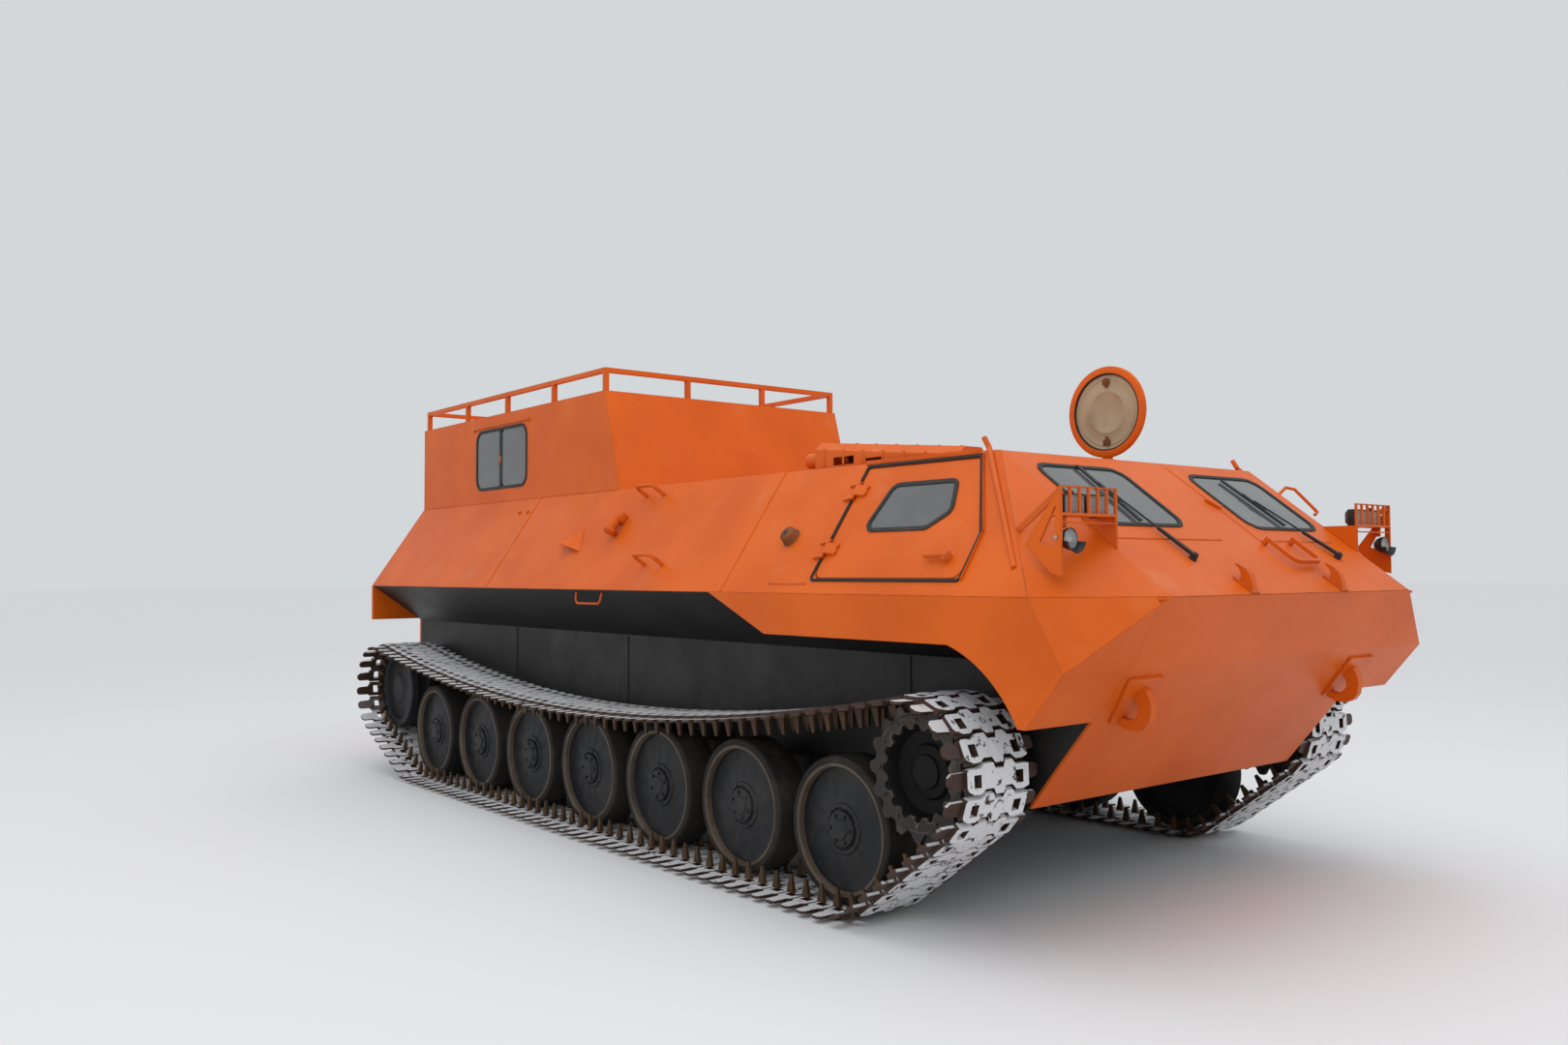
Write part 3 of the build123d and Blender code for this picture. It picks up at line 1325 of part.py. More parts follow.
# Tracks: one closed loop a side
for side, tail in ((-1, "r"), (1, "l")):
    with BuildPart() as track:
        with BuildSketch(Plane.XZ.offset(-side * track_inner_y)):
            with BuildLine():
                Polyline(*[(p.X, p.Y) for p in outer_points], close=True)
            make_face()
            with BuildLine():
                Polyline(*[(p.X, p.Y) for p in inner_points], close=True)
            make_face(mode=Mode.SUBTRACT)
        extrude(amount=-side * (track_outer_y - track_inner_y))
    save(track, f"track_{tail}")

# Sprockets: two toothed rings on a drum, with a final drive housing on the hull
tooth_profile = ((-0.5, valley_radius), (-tooth_half, tooth_tip), (tooth_half, tooth_tip))
tooth_points = [on_circle(sprocket_centre, radius, 360 * (number + share) / tooth_count)
                for number in range(tooth_count) for share, radius in tooth_profile]
with BuildPart() as sprockets:
    for side in (-1, 1):
        for ring_y in ring_places:
            with BuildSketch(Plane.XZ.offset(-side * (ring_y - ring_thick / 2))):
                with BuildLine():
                    Polyline(*tooth_points, close=True)
                make_face()
            extrude(amount=-side * ring_thick)
        for start, end, radius in ((ring_places[0], ring_places[1] + ring_thick, drum_radius),
                                   (hull_y, ring_places[0], final_drive_radius)):
            with BuildSketch(Plane.XZ.offset(-side * start)):
                with Locations(sprocket_centre):
                    RegularPolygon(radius, drum_sides)
            extrude(amount=-side * (end - start))
save(sprockets, "sprockets")

# Idlers: a dished disc on a crank
crank_radius = 60.0
crank_reach = 230.0
crank_thick = 60.0
with BuildPart() as idlers:
    for side in (-1, 1):
        inner_y = wheel_outer_y - idler_width
        with BuildSketch(Plane.XZ.offset(-side * inner_y)):
            with Locations(idler_centre):
                RegularPolygon(idler_wrap - idler_clear, wheel_sides)
        extrude(amount=-side * idler_width)
        with BuildSketch(Plane.XZ.offset(-side * wheel_outer_y)):
            with Locations(idler_centre):
                RegularPolygon(rim_radius - idler_dish, wheel_sides)
                RegularPolygon(hub_radius, hub_sides, mode=Mode.SUBTRACT)
        extrude(amount=side * idler_dish, mode=Mode.SUBTRACT)
        with BuildSketch(Plane.XZ.offset(-side * (inner_y - crank_thick))):
            with Locations((idler_centre[0] + crank_reach / 2, idler_centre[1])):
                Rectangle(crank_reach + 2 * crank_radius, 2 * crank_radius)
        extrude(amount=-side * crank_thick)
        with BuildSketch(Plane.XZ.offset(-side * hull_y)):
            with Locations((idler_centre[0] + crank_reach, idler_centre[1])):
                RegularPolygon(crank_radius, hub_sides)
        extrude(amount=-side * (inner_y - hull_y))
save(idlers, "idlers")

# Road wheels: a rubber-tyred rim around a dished disc with a hub
flat_turn = 180 / wheel_sides - 90
with BuildPart() as road_wheels:
    for side in (-1, 1):
        for back in wheel_backs:
            axle = (station(back), wheel_z)
            with BuildSketch(Plane.XZ.offset(-side * (wheel_outer_y - wheel_width))):
                with Locations(axle):
                    RegularPolygon(wheel_radius, wheel_sides, major_radius=False, rotation=flat_turn)
            extrude(amount=-side * wheel_width)
            with BuildSketch(Plane.XZ.offset(-side * wheel_outer_y)):
                with Locations(axle):
                    RegularPolygon(rim_radius, wheel_sides, major_radius=False, rotation=flat_turn)
            extrude(amount=side * dish_depth, mode=Mode.SUBTRACT)
            with BuildSketch(Plane.XZ.offset(-side * (wheel_outer_y - dish_depth))):
                with Locations(axle):
                    RegularPolygon(hub_radius, hub_sides)
            extrude(amount=-side * hub_depth)
save(road_wheels, "road_wheels")

# Swing arms from the hull's side to the wheels
arm_reach = 225.0
arm_rise = 200.0
arm_thick = 50.0
arm_pivot = 60.0
arm_axle = 50.0
with BuildPart() as swing_arms:
    for side in (-1, 1):
        arm_y = wheel_outer_y - wheel_width - arm_thick
        for back in wheel_backs:
            pivot = (station(back) + arm_reach, wheel_z + arm_rise)
            axle = (station(back), wheel_z)
            with BuildSketch(Plane.XZ.offset(-side * arm_y)):
                with BuildLine():
                    Polyline(
                        (axle[0] - arm_axle, axle[1] - arm_axle), (axle[0] + arm_axle, axle[1] - arm_axle),
                        (pivot[0] + arm_pivot, pivot[1] - arm_pivot),
                        (pivot[0] + arm_pivot, pivot[1] + arm_pivot),
                        (pivot[0] - arm_pivot, pivot[1] + arm_pivot),
                        (axle[0] - arm_axle, axle[1] + arm_axle), close=True,
                    )
                make_face()
            extrude(amount=-side * arm_thick)
            with BuildSketch(Plane.XZ.offset(-side * hull_y)):
                with Locations(pivot):
                    RegularPolygon(arm_pivot, hub_sides)
            extrude(amount=-side * (arm_y - hull_y))
save(swing_arms, "swing_arms")
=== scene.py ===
import bmesh
import bpy
import json
import math
from mathutils import Matrix, Vector


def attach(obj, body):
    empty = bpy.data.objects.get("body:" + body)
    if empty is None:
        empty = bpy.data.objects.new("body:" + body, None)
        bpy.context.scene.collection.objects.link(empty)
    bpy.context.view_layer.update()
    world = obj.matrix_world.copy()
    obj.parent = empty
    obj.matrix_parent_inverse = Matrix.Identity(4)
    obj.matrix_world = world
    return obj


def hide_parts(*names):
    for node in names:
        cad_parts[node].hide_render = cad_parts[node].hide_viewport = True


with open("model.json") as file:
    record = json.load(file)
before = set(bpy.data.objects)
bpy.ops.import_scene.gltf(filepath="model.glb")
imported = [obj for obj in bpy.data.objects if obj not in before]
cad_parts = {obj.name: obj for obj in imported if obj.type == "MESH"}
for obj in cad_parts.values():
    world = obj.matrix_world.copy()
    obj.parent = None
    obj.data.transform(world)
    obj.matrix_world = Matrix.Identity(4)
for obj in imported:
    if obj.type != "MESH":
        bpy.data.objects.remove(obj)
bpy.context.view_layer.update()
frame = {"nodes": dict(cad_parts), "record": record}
nodes = frame["nodes"]
print("frame loaded:", len(nodes), "nodes")

# Places in metres: x forward, y to the left, z up. A station is a distance behind the nose edge.
hull = {
    "noseX": 3.645, "tailX": -3.555, "waistY": 1.441, "waistZ": 1.444, "roofY": 1.0, "roofZ": 2.079,
    "slope": (0.5704, 0.8214), "deck": (0.7994, 0.6008),  # a plate's lean: its run inwards or back, and its rise
}


def station(back):
    return hull["noseX"] - back


def openEdit(piece, kind="FACE", action="SELECT"):
    activate(piece)
    bpy.ops.object.mode_set(mode="EDIT")
    bpy.ops.mesh.select_mode(type=kind)
    bpy.ops.mesh.select_all(action=action)


def leaveEdit():
    bpy.ops.object.mode_set(mode="OBJECT")


def closeEdit():
    bpy.ops.mesh.select_all(action="SELECT")
    bpy.ops.mesh.remove_doubles(threshold=0.00002)
    bpy.ops.mesh.normals_make_consistent(inside=False)
    leaveEdit()


def activate(*pieces):  # the first becomes the active one
    if bpy.context.object and bpy.context.object.mode != "OBJECT":
        leaveEdit()
    bpy.ops.object.select_all(action="DESELECT")
    for piece in pieces:
        piece.select_set(True)
    bpy.context.view_layer.objects.active = pieces[0]


def pick(piece, test, kind="FACE"):  # leaves edit mode on with what passes the test selected
    openEdit(piece, kind, "DESELECT")
    mesh = bmesh.from_edit_mesh(piece.data)
    for element in mesh.faces if kind == "FACE" else mesh.edges:
        if test(element):
            element.select_set(True)
    bmesh.update_edit_mesh(piece.data)


def dropFaces(piece, test):
    pick(piece, test)
    bpy.ops.mesh.delete(type="FACE")
    leaveEdit()


def extrude(move, share=None, centre=None):
    bpy.ops.mesh.extrude_region_move(TRANSFORM_OT_translate={"value": move})
    if share:
        resize(share, centre)


def resize(share, centre=None):
    choice = {"center_override": centre} if centre else {}
    bpy.ops.transform.resize(value=share, **choice)


def settle(piece):
    activate(piece)
    bpy.ops.object.transform_apply(location=True, rotation=True, scale=True)
    return piece


def modify(piece, kind, **settings):
    modifier = piece.modifiers.new(kind.lower(), kind)
    for key, value in settings.items():
        setattr(modifier, key, value)
    activate(piece)
    bpy.ops.object.modifier_apply(modifier=modifier.name)


def roundEdges(piece, width, segments=2, angle=35):
    modify(piece, "BEVEL", width=width, segments=segments, limit_method="ANGLE", angle_limit=math.radians(angle))


def coat(piece, name):
    piece.data.materials.clear()
    piece.data.materials.append(finish[name])
    return piece


def paintFaces(piece, name, test):  # a second material on the faces that pass the test
    piece.data.materials.append(finish[name])
    for face in piece.data.polygons:
        if test(face):
            face.material_index = len(piece.data.materials) - 1


def at(place, turn=None):  # the matrix of a place and a turn
    return Matrix.Translation(place) @ (turn or Matrix.Identity(4))


def copyOf(piece, matrix):
    twin = piece.copy()
    twin.data = piece.data.copy()
    bpy.context.collection.objects.link(twin)
    twin.matrix_world = matrix
    return twin


def moved(piece, matrix):
    piece.matrix_world = matrix
    return piece


def placed(piece, matrix):  # carried over from a flat drawing into a sloping frame
    return settle(moved(piece, matrix @ piece.matrix_world))


def joinParts(parts):
    activate(*parts)
    if len(parts) > 1:
        bpy.ops.object.join()
    return settle(parts[0])


def mirrored(piece):  # the same piece on the other side of the vehicle
    twin = settle(copyOf(piece, Matrix.Scale(-1, 4, (0, 1, 0)) @ piece.matrix_world))
    openEdit(twin)
    bpy.ops.mesh.normals_make_consistent(inside=False)
    leaveEdit()
    return twin


def bothSides(piece):
    return [piece, mirrored(piece)]


def finishPiece(piece, name, body, stands=(), angle=32):
    settle(piece)
    bpy.ops.object.shade_smooth_by_angle(angle=math.radians(angle))
    piece.name = name
    piece.data.name = name
    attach(piece, body)
    if stands:
        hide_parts(*stands)
    return piece


def turned(profile, steps):  # rings of (radius, height) about z, from one edge to the other
    least = 0.0001
    radius, height = max(profile[0][0], least), profile[0][1]
    bpy.ops.mesh.primitive_circle_add(vertices=steps, radius=radius, location=(0, 0, height))
    part = settle(bpy.context.object)
    openEdit(part, "EDGE")
    for nextRadius, nextHeight in profile[1:]:
        share = max(nextRadius, least) / max(radius, least)
        extrude((0, 0, nextHeight - height), (share, share, 1), (0, 0, nextHeight))
        radius, height = nextRadius, nextHeight
    if radius <= least:
        bpy.ops.mesh.merge(type="CENTER")
    if profile[0][0] <= least:
        bpy.ops.mesh.select_all(action="DESELECT")
        mesh = bmesh.from_edit_mesh(part.data)
        for vert in mesh.verts:
            if abs(vert.co.x) + abs(vert.co.y) < 0.001 and abs(vert.co.z - profile[0][1]) < 0.00001:
                vert.select_set(True)
        bmesh.update_edit_mesh(part.data)
        bpy.ops.mesh.merge(type="CENTER")
    closeEdit()
    return part


def ringParts(pieces, steps):
    return [coat(turned(profile, steps), name) for profile, name in pieces]


def ringPlaces(radius, height, angles):
    return [(radius * math.cos(angle), radius * math.sin(angle), height) for angle in angles]


def evenAngles(count):
    return [2 * math.pi * number / count for number in range(count)]


def rod(points, radius, sides=8, closed=False):  # round bar along points, made a mesh
    bpy.ops.curve.primitive_bezier_curve_add()
    curve = bpy.context.object.data
    curve.splines.clear()
    line = curve.splines.new("POLY")
    line.points.add(len(points) - 1)
    for spot, place in zip(line.points, points):
        spot.co = (*place, 1)
    line.use_cyclic_u = closed
    curve.dimensions = "3D"
    curve.bevel_depth = radius
    curve.bevel_resolution = max(0, sides // 4 - 1)
    curve.use_fill_caps = not closed
    activate(bpy.context.object)
    bpy.ops.object.convert(target="MESH")
    return bpy.context.object


def block(size):
    bpy.ops.mesh.primitive_cube_add(size=1, location=(0, 0, 0))
    bpy.context.object.scale = size
    return settle(bpy.context.object)


def slab(size, place, soften, turn=None):  # box with softened edges
    part = block(size)
    roundEdges(part, soften)
    return moved(part, at(place, turn))


def boltHeads(places, radius, height, axis=(0, 0, 1)):  # hexagon heads with a chamfered top
    turn = Vector((0, 0, 1)).rotation_difference(Vector(axis)).to_matrix().to_4x4()
    bpy.ops.mesh.primitive_cylinder_add(vertices=6, radius=radius, depth=height, location=(0, 0, height / 2))
    first = settle(bpy.context.object)
    pick(first, lambda face: face.normal.z > 0.9)
    bpy.ops.mesh.inset(thickness=radius * 0.22, depth=height * 0.2)
    closeEdit()
    heads = [copyOf(first, at(place, turn)) for place in places]
    bpy.data.objects.remove(first)
    return joinParts(heads)


def feed(tree, inputs, feeds):  # a socket is linked, anything else is a plain value
    for key, value in feeds.items():
        if isinstance(value, bpy.types.NodeSocket):
            tree.links.new(value, inputs[key])
        else:
            inputs[key].default_value = value


def weave(tree, kind, feeds=None, **settings):
    node = tree.nodes.new("ShaderNode" + kind)
    for key, value in settings.items():
        setattr(node, key, value)
    feed(tree, node.inputs, feeds or {})
    return node.outputs


def calc(tree, operation, *values, **settings):
    return weave(tree, "Math", dict(enumerate(values)), operation=operation, **settings)["Value"]


def mapped(tree, value, start=(0, 1), end=(0, 1), **settings):
    feeds = {"Value": value, "From Min": start[0], "From Max": start[1], "To Min": end[0], "To Max": end[1]}
    return weave(tree, "MapRange", feeds, **settings)["Result"]


def noise(tree, scale, detail, roughness=0.5):
    feeds = {"Vector": objectPlace(tree), "Scale": scale, "Detail": detail, "Roughness": roughness}
    return weave(tree, "TexNoise", feeds)["Fac"]


def objectPlace(tree):
    return weave(tree, "TexCoord")["Object"]


def blend(tree, factor, first, second):
    first, second = [(*value, 1) if isinstance(value, tuple) else value for value in (first, second)]
    return weave(tree, "Mix", {"Factor": factor, "A": first, "B": second}, data_type="RGBA")["Result"]


def newGroup(name, inputs, build):
    group = bpy.data.node_groups.new(name, "ShaderNodeTree")
    for label, value in inputs.items():
        socket = group.interface.new_socket(name=label, in_out="INPUT", socket_type="NodeSocketFloat")
        socket.default_value = value
    results = build(group, group.nodes.new("NodeGroupInput").outputs)
    for label in results:
        kind = "NodeSocketVector" if label == "Normal" else "NodeSocketFloat"
        group.interface.new_socket(name=label, in_out="OUTPUT", socket_type=kind)
    feed(group, group.nodes.new("NodeGroupOutput").inputs, results)
    return group


def wearNet(tree, given):  # worn where a rounded normal leaves the true one, in patches
    soft = weave(tree, "Bevel", {"Radius": given["Radius"]}, samples=3)["Normal"]
    feeds = {0: soft, 1: weave(tree, "NewGeometry")["True Normal"]}
    same = weave(tree, "VectorMath", feeds, operation="DOT_PRODUCT")["Value"]
    patches = mapped(tree, noise(tree, given["Patch Scale"], 5), (0.46, 0.62))
    return {"Mask": calc(tree, "MULTIPLY", mapped(tree, same, (0.985, 0.9)), patches), "Normal": soft}


def grainNet(tree, given):  # fine grain on wide ripples
    fine, wide = noise(tree, given["Scale"], 4), noise(tree, given["Ripple Scale"], 3)
    ripple = calc(tree, "MULTIPLY", wide, given["Ripple"])
    return {"Height": calc(tree, "ADD", fine, ripple), "Patches": wide}


def dustNet(tree, given):  # clouds of dust, more on what faces up
    edges = (given["Low Edge"], given["High Edge"])
    clouds = mapped(tree, noise(tree, given["Scale"], 8, 0.65), edges, interpolation_type="SMOOTHSTEP")
    up = weave(tree, "SeparateXYZ", {"Vector": weave(tree, "NewGeometry")["Normal"]})["Z"]
    rest = calc(tree, "SUBTRACT", 1.0, given["Facing Up"])
    lying = calc(tree, "MULTIPLY_ADD", up, given["Facing Up"], rest, use_clamp=True)
    return {"Mask": calc(tree, "MULTIPLY", clouds, lying)}


edgeWear = newGroup("edgeWear", {"Radius": 0.004, "Patch Scale": 9.0}, wearNet)
surfaceGrain = newGroup("surfaceGrain", {"Scale": 60.0, "Ripple Scale": 3.0, "Ripple": 0.5}, grainNet)
settledDust = newGroup("settledDust", {"Scale": 5.0, "Low Edge": 0.45, "High Edge": 0.75, "Facing Up": 0.4}, dustNet)


def shared(tree, group, *values):  # a shared effect with its values in the order of its inputs
    return weave(tree, "Group", dict(enumerate(values)), node_tree=group)


def newMaterial(name):
    material = bpy.data.materials.new(name)
    material.use_nodes = True
    return material, material.node_tree, material.node_tree.nodes["Principled BSDF"].inputs


def bumped(tree, height, distance, **more):
    return weave(tree, "Bump", {"Height": height, "Distance": distance, **more})["Normal"]


# Paint and metal: base colour, second colour in patches, dust, worn edges, where dust starts and is full,
# roughness, share of dust that needs a face turned up, width of the wear, gloss, metal, grain, bump, ripple
finishColumns = ("colour", "patch", "dust", "worn", "dustEdges", "rough", "facingUp", "radius", "specular",
                 "metallic", "grain", "bump", "ripple")
finishes = {
    "orangePaint": ((0.66, 0.113, 0.006), (0.59, 0.095, 0.005), (0.66, 0.21, 0.088), (0.36, 0.07, 0.012),
        (0.52, 0.98), (0.32, 0.48), 0.5, 0.006, 0.18, 0.0, 140.0, 0.012, 6.0),
    "hullBlack": ((0.007, 0.0065, 0.006), (0.012, 0.011, 0.0105), (0.06, 0.053, 0.05), (0.03, 0.026, 0.023),
        (0.3, 0.8), (0.4, 0.6), 0.52, 0.005, 0.3, 0.0, 90.0, 0.02, 4.0),
    # near-black for the sprocket's dish and drum: painted shade from under the track, darker than the parts' own black;
    # its dust and worn edges are real
    "oilBlack": ((0.004, 0.004, 0.0042), (0.009, 0.008, 0.008), (0.03, 0.026, 0.024), (0.03, 0.028, 0.026),
        (0.5, 0.95), (0.4, 0.6), 0.3, 0.004, 0.12, 0.0, 90.0, 0.03, 3.0),
    "sealRubber": ((0.01, 0.01, 0.0095), (0.02, 0.019, 0.018), (0.08, 0.065, 0.055), (0.03, 0.03, 0.03),
        (0.5, 0.9), (0.45, 0.7), 0.35, 0.004, 0.4, 0.0, 160.0, 0.02, 1.0),
    "tyreRubber": ((0.011, 0.0098, 0.009), (0.024, 0.02, 0.017), (0.07, 0.055, 0.042), (0.05, 0.04, 0.032),
        (0.42, 0.85), (0.7, 0.9), 0.2, 0.008, 0.25, 0.0, 120.0, 0.05, 2.0),
    "discBlack": ((0.008, 0.0083, 0.0095), (0.017, 0.017, 0.019), (0.05, 0.045, 0.043), (0.03, 0.03, 0.03),
        (0.42, 0.85), (0.42, 0.65), 0.25, 0.004, 0.3, 0.0, 80.0, 0.03, 3.0),
    "rimWorn": ((0.1, 0.07, 0.046), (0.055, 0.038, 0.026), (0.16, 0.13, 0.1), (0.2, 0.16, 0.12),
        (0.4, 0.8), (0.5, 0.75), 0.2, 0.003, 0.4, 0.2, 70.0, 0.05, 2.0),
    "hornSteel": ((0.055, 0.03, 0.014), (0.1, 0.048, 0.018), (0.16, 0.11, 0.07), (0.22, 0.18, 0.14),
        (0.45, 0.85), (0.45, 0.7), 0.2, 0.003, 0.4, 0.4, 60.0, 0.08, 2.0),
    "gearSteel": ((0.022, 0.019, 0.017), (0.045, 0.032, 0.022), (0.2, 0.19, 0.18), (0.28, 0.26, 0.24),
        (0.5, 0.85), (0.35, 0.6), 0.3, 0.005, 0.4, 0.4, 60.0, 0.06, 2.0),
    "plainSteel": ((0.42, 0.41, 0.39), (0.3, 0.29, 0.27), (0.25, 0.22, 0.19), (0.6, 0.58, 0.55),
        (0.5, 0.9), (0.22, 0.45), 0.3, 0.002, 0.5, 0.85, 90.0, 0.02, 1.0),
    "creamPaint": ((0.42, 0.33, 0.21), (0.33, 0.25, 0.15), (0.2, 0.15, 0.1), (0.16, 0.12, 0.08),
        (0.45, 0.8), (0.45, 0.65), 0.1, 0.003, 0.3, 0.0, 70.0, 0.03, 2.0),
    "rustIron": ((0.12, 0.045, 0.018), (0.24, 0.075, 0.018), (0.34, 0.1, 0.025), (0.3, 0.15, 0.08),
        (0.4, 0.75), (0.7, 0.9), 0.1, 0.003, 0.3, 0.1, 50.0, 0.12, 2.0),
    "innerPaint": ((0.2, 0.205, 0.19), (0.16, 0.165, 0.15), (0.14, 0.12, 0.1), (0.12, 0.11, 0.1),
        (0.5, 0.9), (0.5, 0.65), 0.4, 0.003, 0.3, 0.0, 80.0, 0.02, 2.0),
    "darkPlastic": ((0.012, 0.012, 0.0125), (0.02, 0.02, 0.02), (0.08, 0.07, 0.06), (0.04, 0.04, 0.04),
        (0.55, 0.95), (0.38, 0.55), 0.4, 0.002, 0.4, 0.0, 220.0, 0.02, 0.5),
    "castIron": ((0.06, 0.062, 0.065), (0.04, 0.04, 0.04), (0.12, 0.1, 0.08), (0.15, 0.145, 0.14),
        (0.45, 0.8), (0.55, 0.75), 0.4, 0.004, 0.4, 0.4, 90.0, 0.06, 2.0),
    "tailRed": ((0.4, 0.012, 0.01), (0.33, 0.01, 0.008), (0.3, 0.12, 0.1), (0.4, 0.05, 0.04),
        (0.5, 0.9), (0.15, 0.3), 0.3, 0.002, 0.5, 0.0, 60.0, 0.01, 1.0),
}


def makeCoated(name, row):
    look = dict(zip(finishColumns, row))
    material, tree, shader = newMaterial(name)
    wear = shared(tree, edgeWear, look["radius"], 9.0)
    grain = shared(tree, surfaceGrain, look["grain"], 2.2, look["ripple"])
    dust = shared(tree, settledDust, 3.5, *look["dustEdges"], look["facingUp"])
    body = blend(tree, mapped(tree, grain["Patches"], (0.35, 0.65)), look["colour"], look["patch"])
    worn = blend(tree, wear["Mask"], body, look["worn"])
    feed(tree, shader, {
        "Base Color": blend(tree, dust["Mask"], worn, look["dust"]),
        "Roughness": mapped(tree, grain["Patches"], (0, 1), look["rough"]),
        "Metallic": look["metallic"],
        "Specular IOR Level": look["specular"],
        "Normal": bumped(tree, grain["Height"], look["bump"] * 0.01, Normal=wear["Normal"]),
    })
    return material


finish = {name: makeCoated(name, row) for name, row in finishes.items()}


def makeTrackMetal(name, look):  # brown cast steel; snow lies where the faces turn to the given direction
    material, tree, shader = newMaterial(name)
    grain = shared(tree, surfaceGrain, 55.0, 7.0, 2.0)
    feeds = {0: weave(tree, "NewGeometry")["True Normal"], 1: look["snowWay"]}
    facing = weave(tree, "VectorMath", feeds, operation="DOT_PRODUCT")["Value"]
    packed = shared(tree, settledDust, look["patchScale"], *look["patchRange"], 0.0)["Mask"]
    snow = calc(tree, "MULTIPLY", mapped(tree, facing, look["turnRange"]), packed)
    steel = blend(tree, grain["Patches"], look["steel"], look["rust"])
    feed(tree, shader, {
        "Base Color": blend(tree, snow, steel, look["snow"]),
        "Roughness": mapped(tree, snow, (0, 1), (0.5, 0.9)),
        "Metallic": mapped(tree, snow, (0, 1), (0.35, 0.0)),
        "Normal": bumped(tree, grain["Height"], look["bump"]),
    })
    return material


trackLooks = {
    "trackSteel": {"steel": (0.03, 0.019, 0.013), "rust": (0.075, 0.03, 0.018), "snow": (0.6, 0.6, 0.62),
                   "snowWay": (0.25, 0.0, 0.97), "turnRange": (0.62, 0.82), "patchScale": 14.0,
                   "patchRange": (0.36, 0.44), "bump": 0.002},
    "packedSnow": {"steel": (0.03, 0.019, 0.013), "rust": (0.06, 0.03, 0.02), "snow": (0.66, 0.665, 0.685),
                   "snowWay": (0.88, 0.0, 0.47), "turnRange": (-0.16, 0.02), "patchScale": 20.0,
                   "patchRange": (0.37, 0.44), "bump": 0.006},
}
glassLook = {"clear": (0.11, 0.114, 0.114), "frost": (0.36, 0.37, 0.37), "rough": (0.06, 0.6), "crystals": 45}
lensLook = {"dark": (0.8, 0.83, 0.86), "light": (0.95, 0.96, 0.98), "flutes": 30}
leatherLook = {"dark": (0.035, 0.033, 0.03), "worn": (0.085, 0.078, 0.07), "cells": 260}


def makeGlass():  # dusty window glass, frosted towards its edges where the pane's own attribute says so
    material, tree, shader = newMaterial("windowGlass")
    edge = weave(tree, "Attribute", attribute_name="frost")["Fac"]
    grown = calc(tree, "MULTIPLY", edge, noise(tree, glassLook["crystals"], 6))
    dust = shared(tree, settledDust, 3.0, 0.4, 1.3, 0.3)["Mask"]
    veil = calc(tree, "MAXIMUM", mapped(tree, grown, (0.2, 0.62)), dust)
    feed(tree, shader, {
        "Base Color": blend(tree, veil, glassLook["clear"], glassLook["frost"]),
        "Roughness": mapped(tree, veil, (0, 1), glassLook["rough"]),
        "Transmission Weight": 0.25,
        "IOR": 1.75,
    })
    return material


def makeLampGlass():  # clear fluted lens over a bright bowl
    material, tree, shader = newMaterial("lampGlass")
    feeds = {"Vector": objectPlace(tree), "Scale": lensLook["flutes"], "Distortion": 0.3}
    flutes = weave(tree, "TexWave", feeds, bands_direction="Y")["Fac"]
    feed(tree, shader, {
        "Base Color": blend(tree, flutes, lensLook["dark"], lensLook["light"]),
        "Roughness": 0.05,
        "Transmission Weight": 0.8,
        "Normal": bumped(tree, flutes, 0.002),
    })
    return material


def makeLeather():  # grained seat cover with worn crowns
    material, tree, shader = newMaterial("seatLeather")
    feeds = {"Vector": objectPlace(tree), "Scale": leatherLook["cells"]}
    cells = weave(tree, "TexVoronoi", feeds, feature="DISTANCE_TO_EDGE")["Distance"]
    grain = shared(tree, surfaceGrain, 40.0, 5.0, 1.0)["Patches"]
    feed(tree, shader, {
        "Base Color": blend(tree, grain, leatherLook["dark"], leatherLook["worn"]),
        "Roughness": 0.55,
        "Normal": bumped(tree, cells, 0.0008),
    })
    return material


for lookName, look in trackLooks.items():
    finish[lookName] = makeTrackMetal(lookName, look)
finish["windowGlass"] = makeGlass()
finish["lampGlass"] = makeLampGlass()
finish["seatLeather"] = makeLeather()

slotFinish = {
    "orange_paint": "orangePaint", "hull_black": "hullBlack", "black_rubber": "sealRubber",
    "window_glass": "windowGlass", "engine_iron": "castIron", "inner_paint": "innerPaint",
    "seat_leather": "seatLeather", "dark_plastic": "darkPlastic", "lamp_metal": "plainSteel",
    "track_steel": "trackSteel", "wheel_rubber": "tyreRubber",
}
slotOf = {part["node"]: part["material_slot"] for part in frame["record"]["subparts"]}
for nodeName, node in nodes.items():
    for place in node.material_slots:
        place.material = finish[slotFinish[slotOf[nodeName]]]
print("materials made:", len(finish))


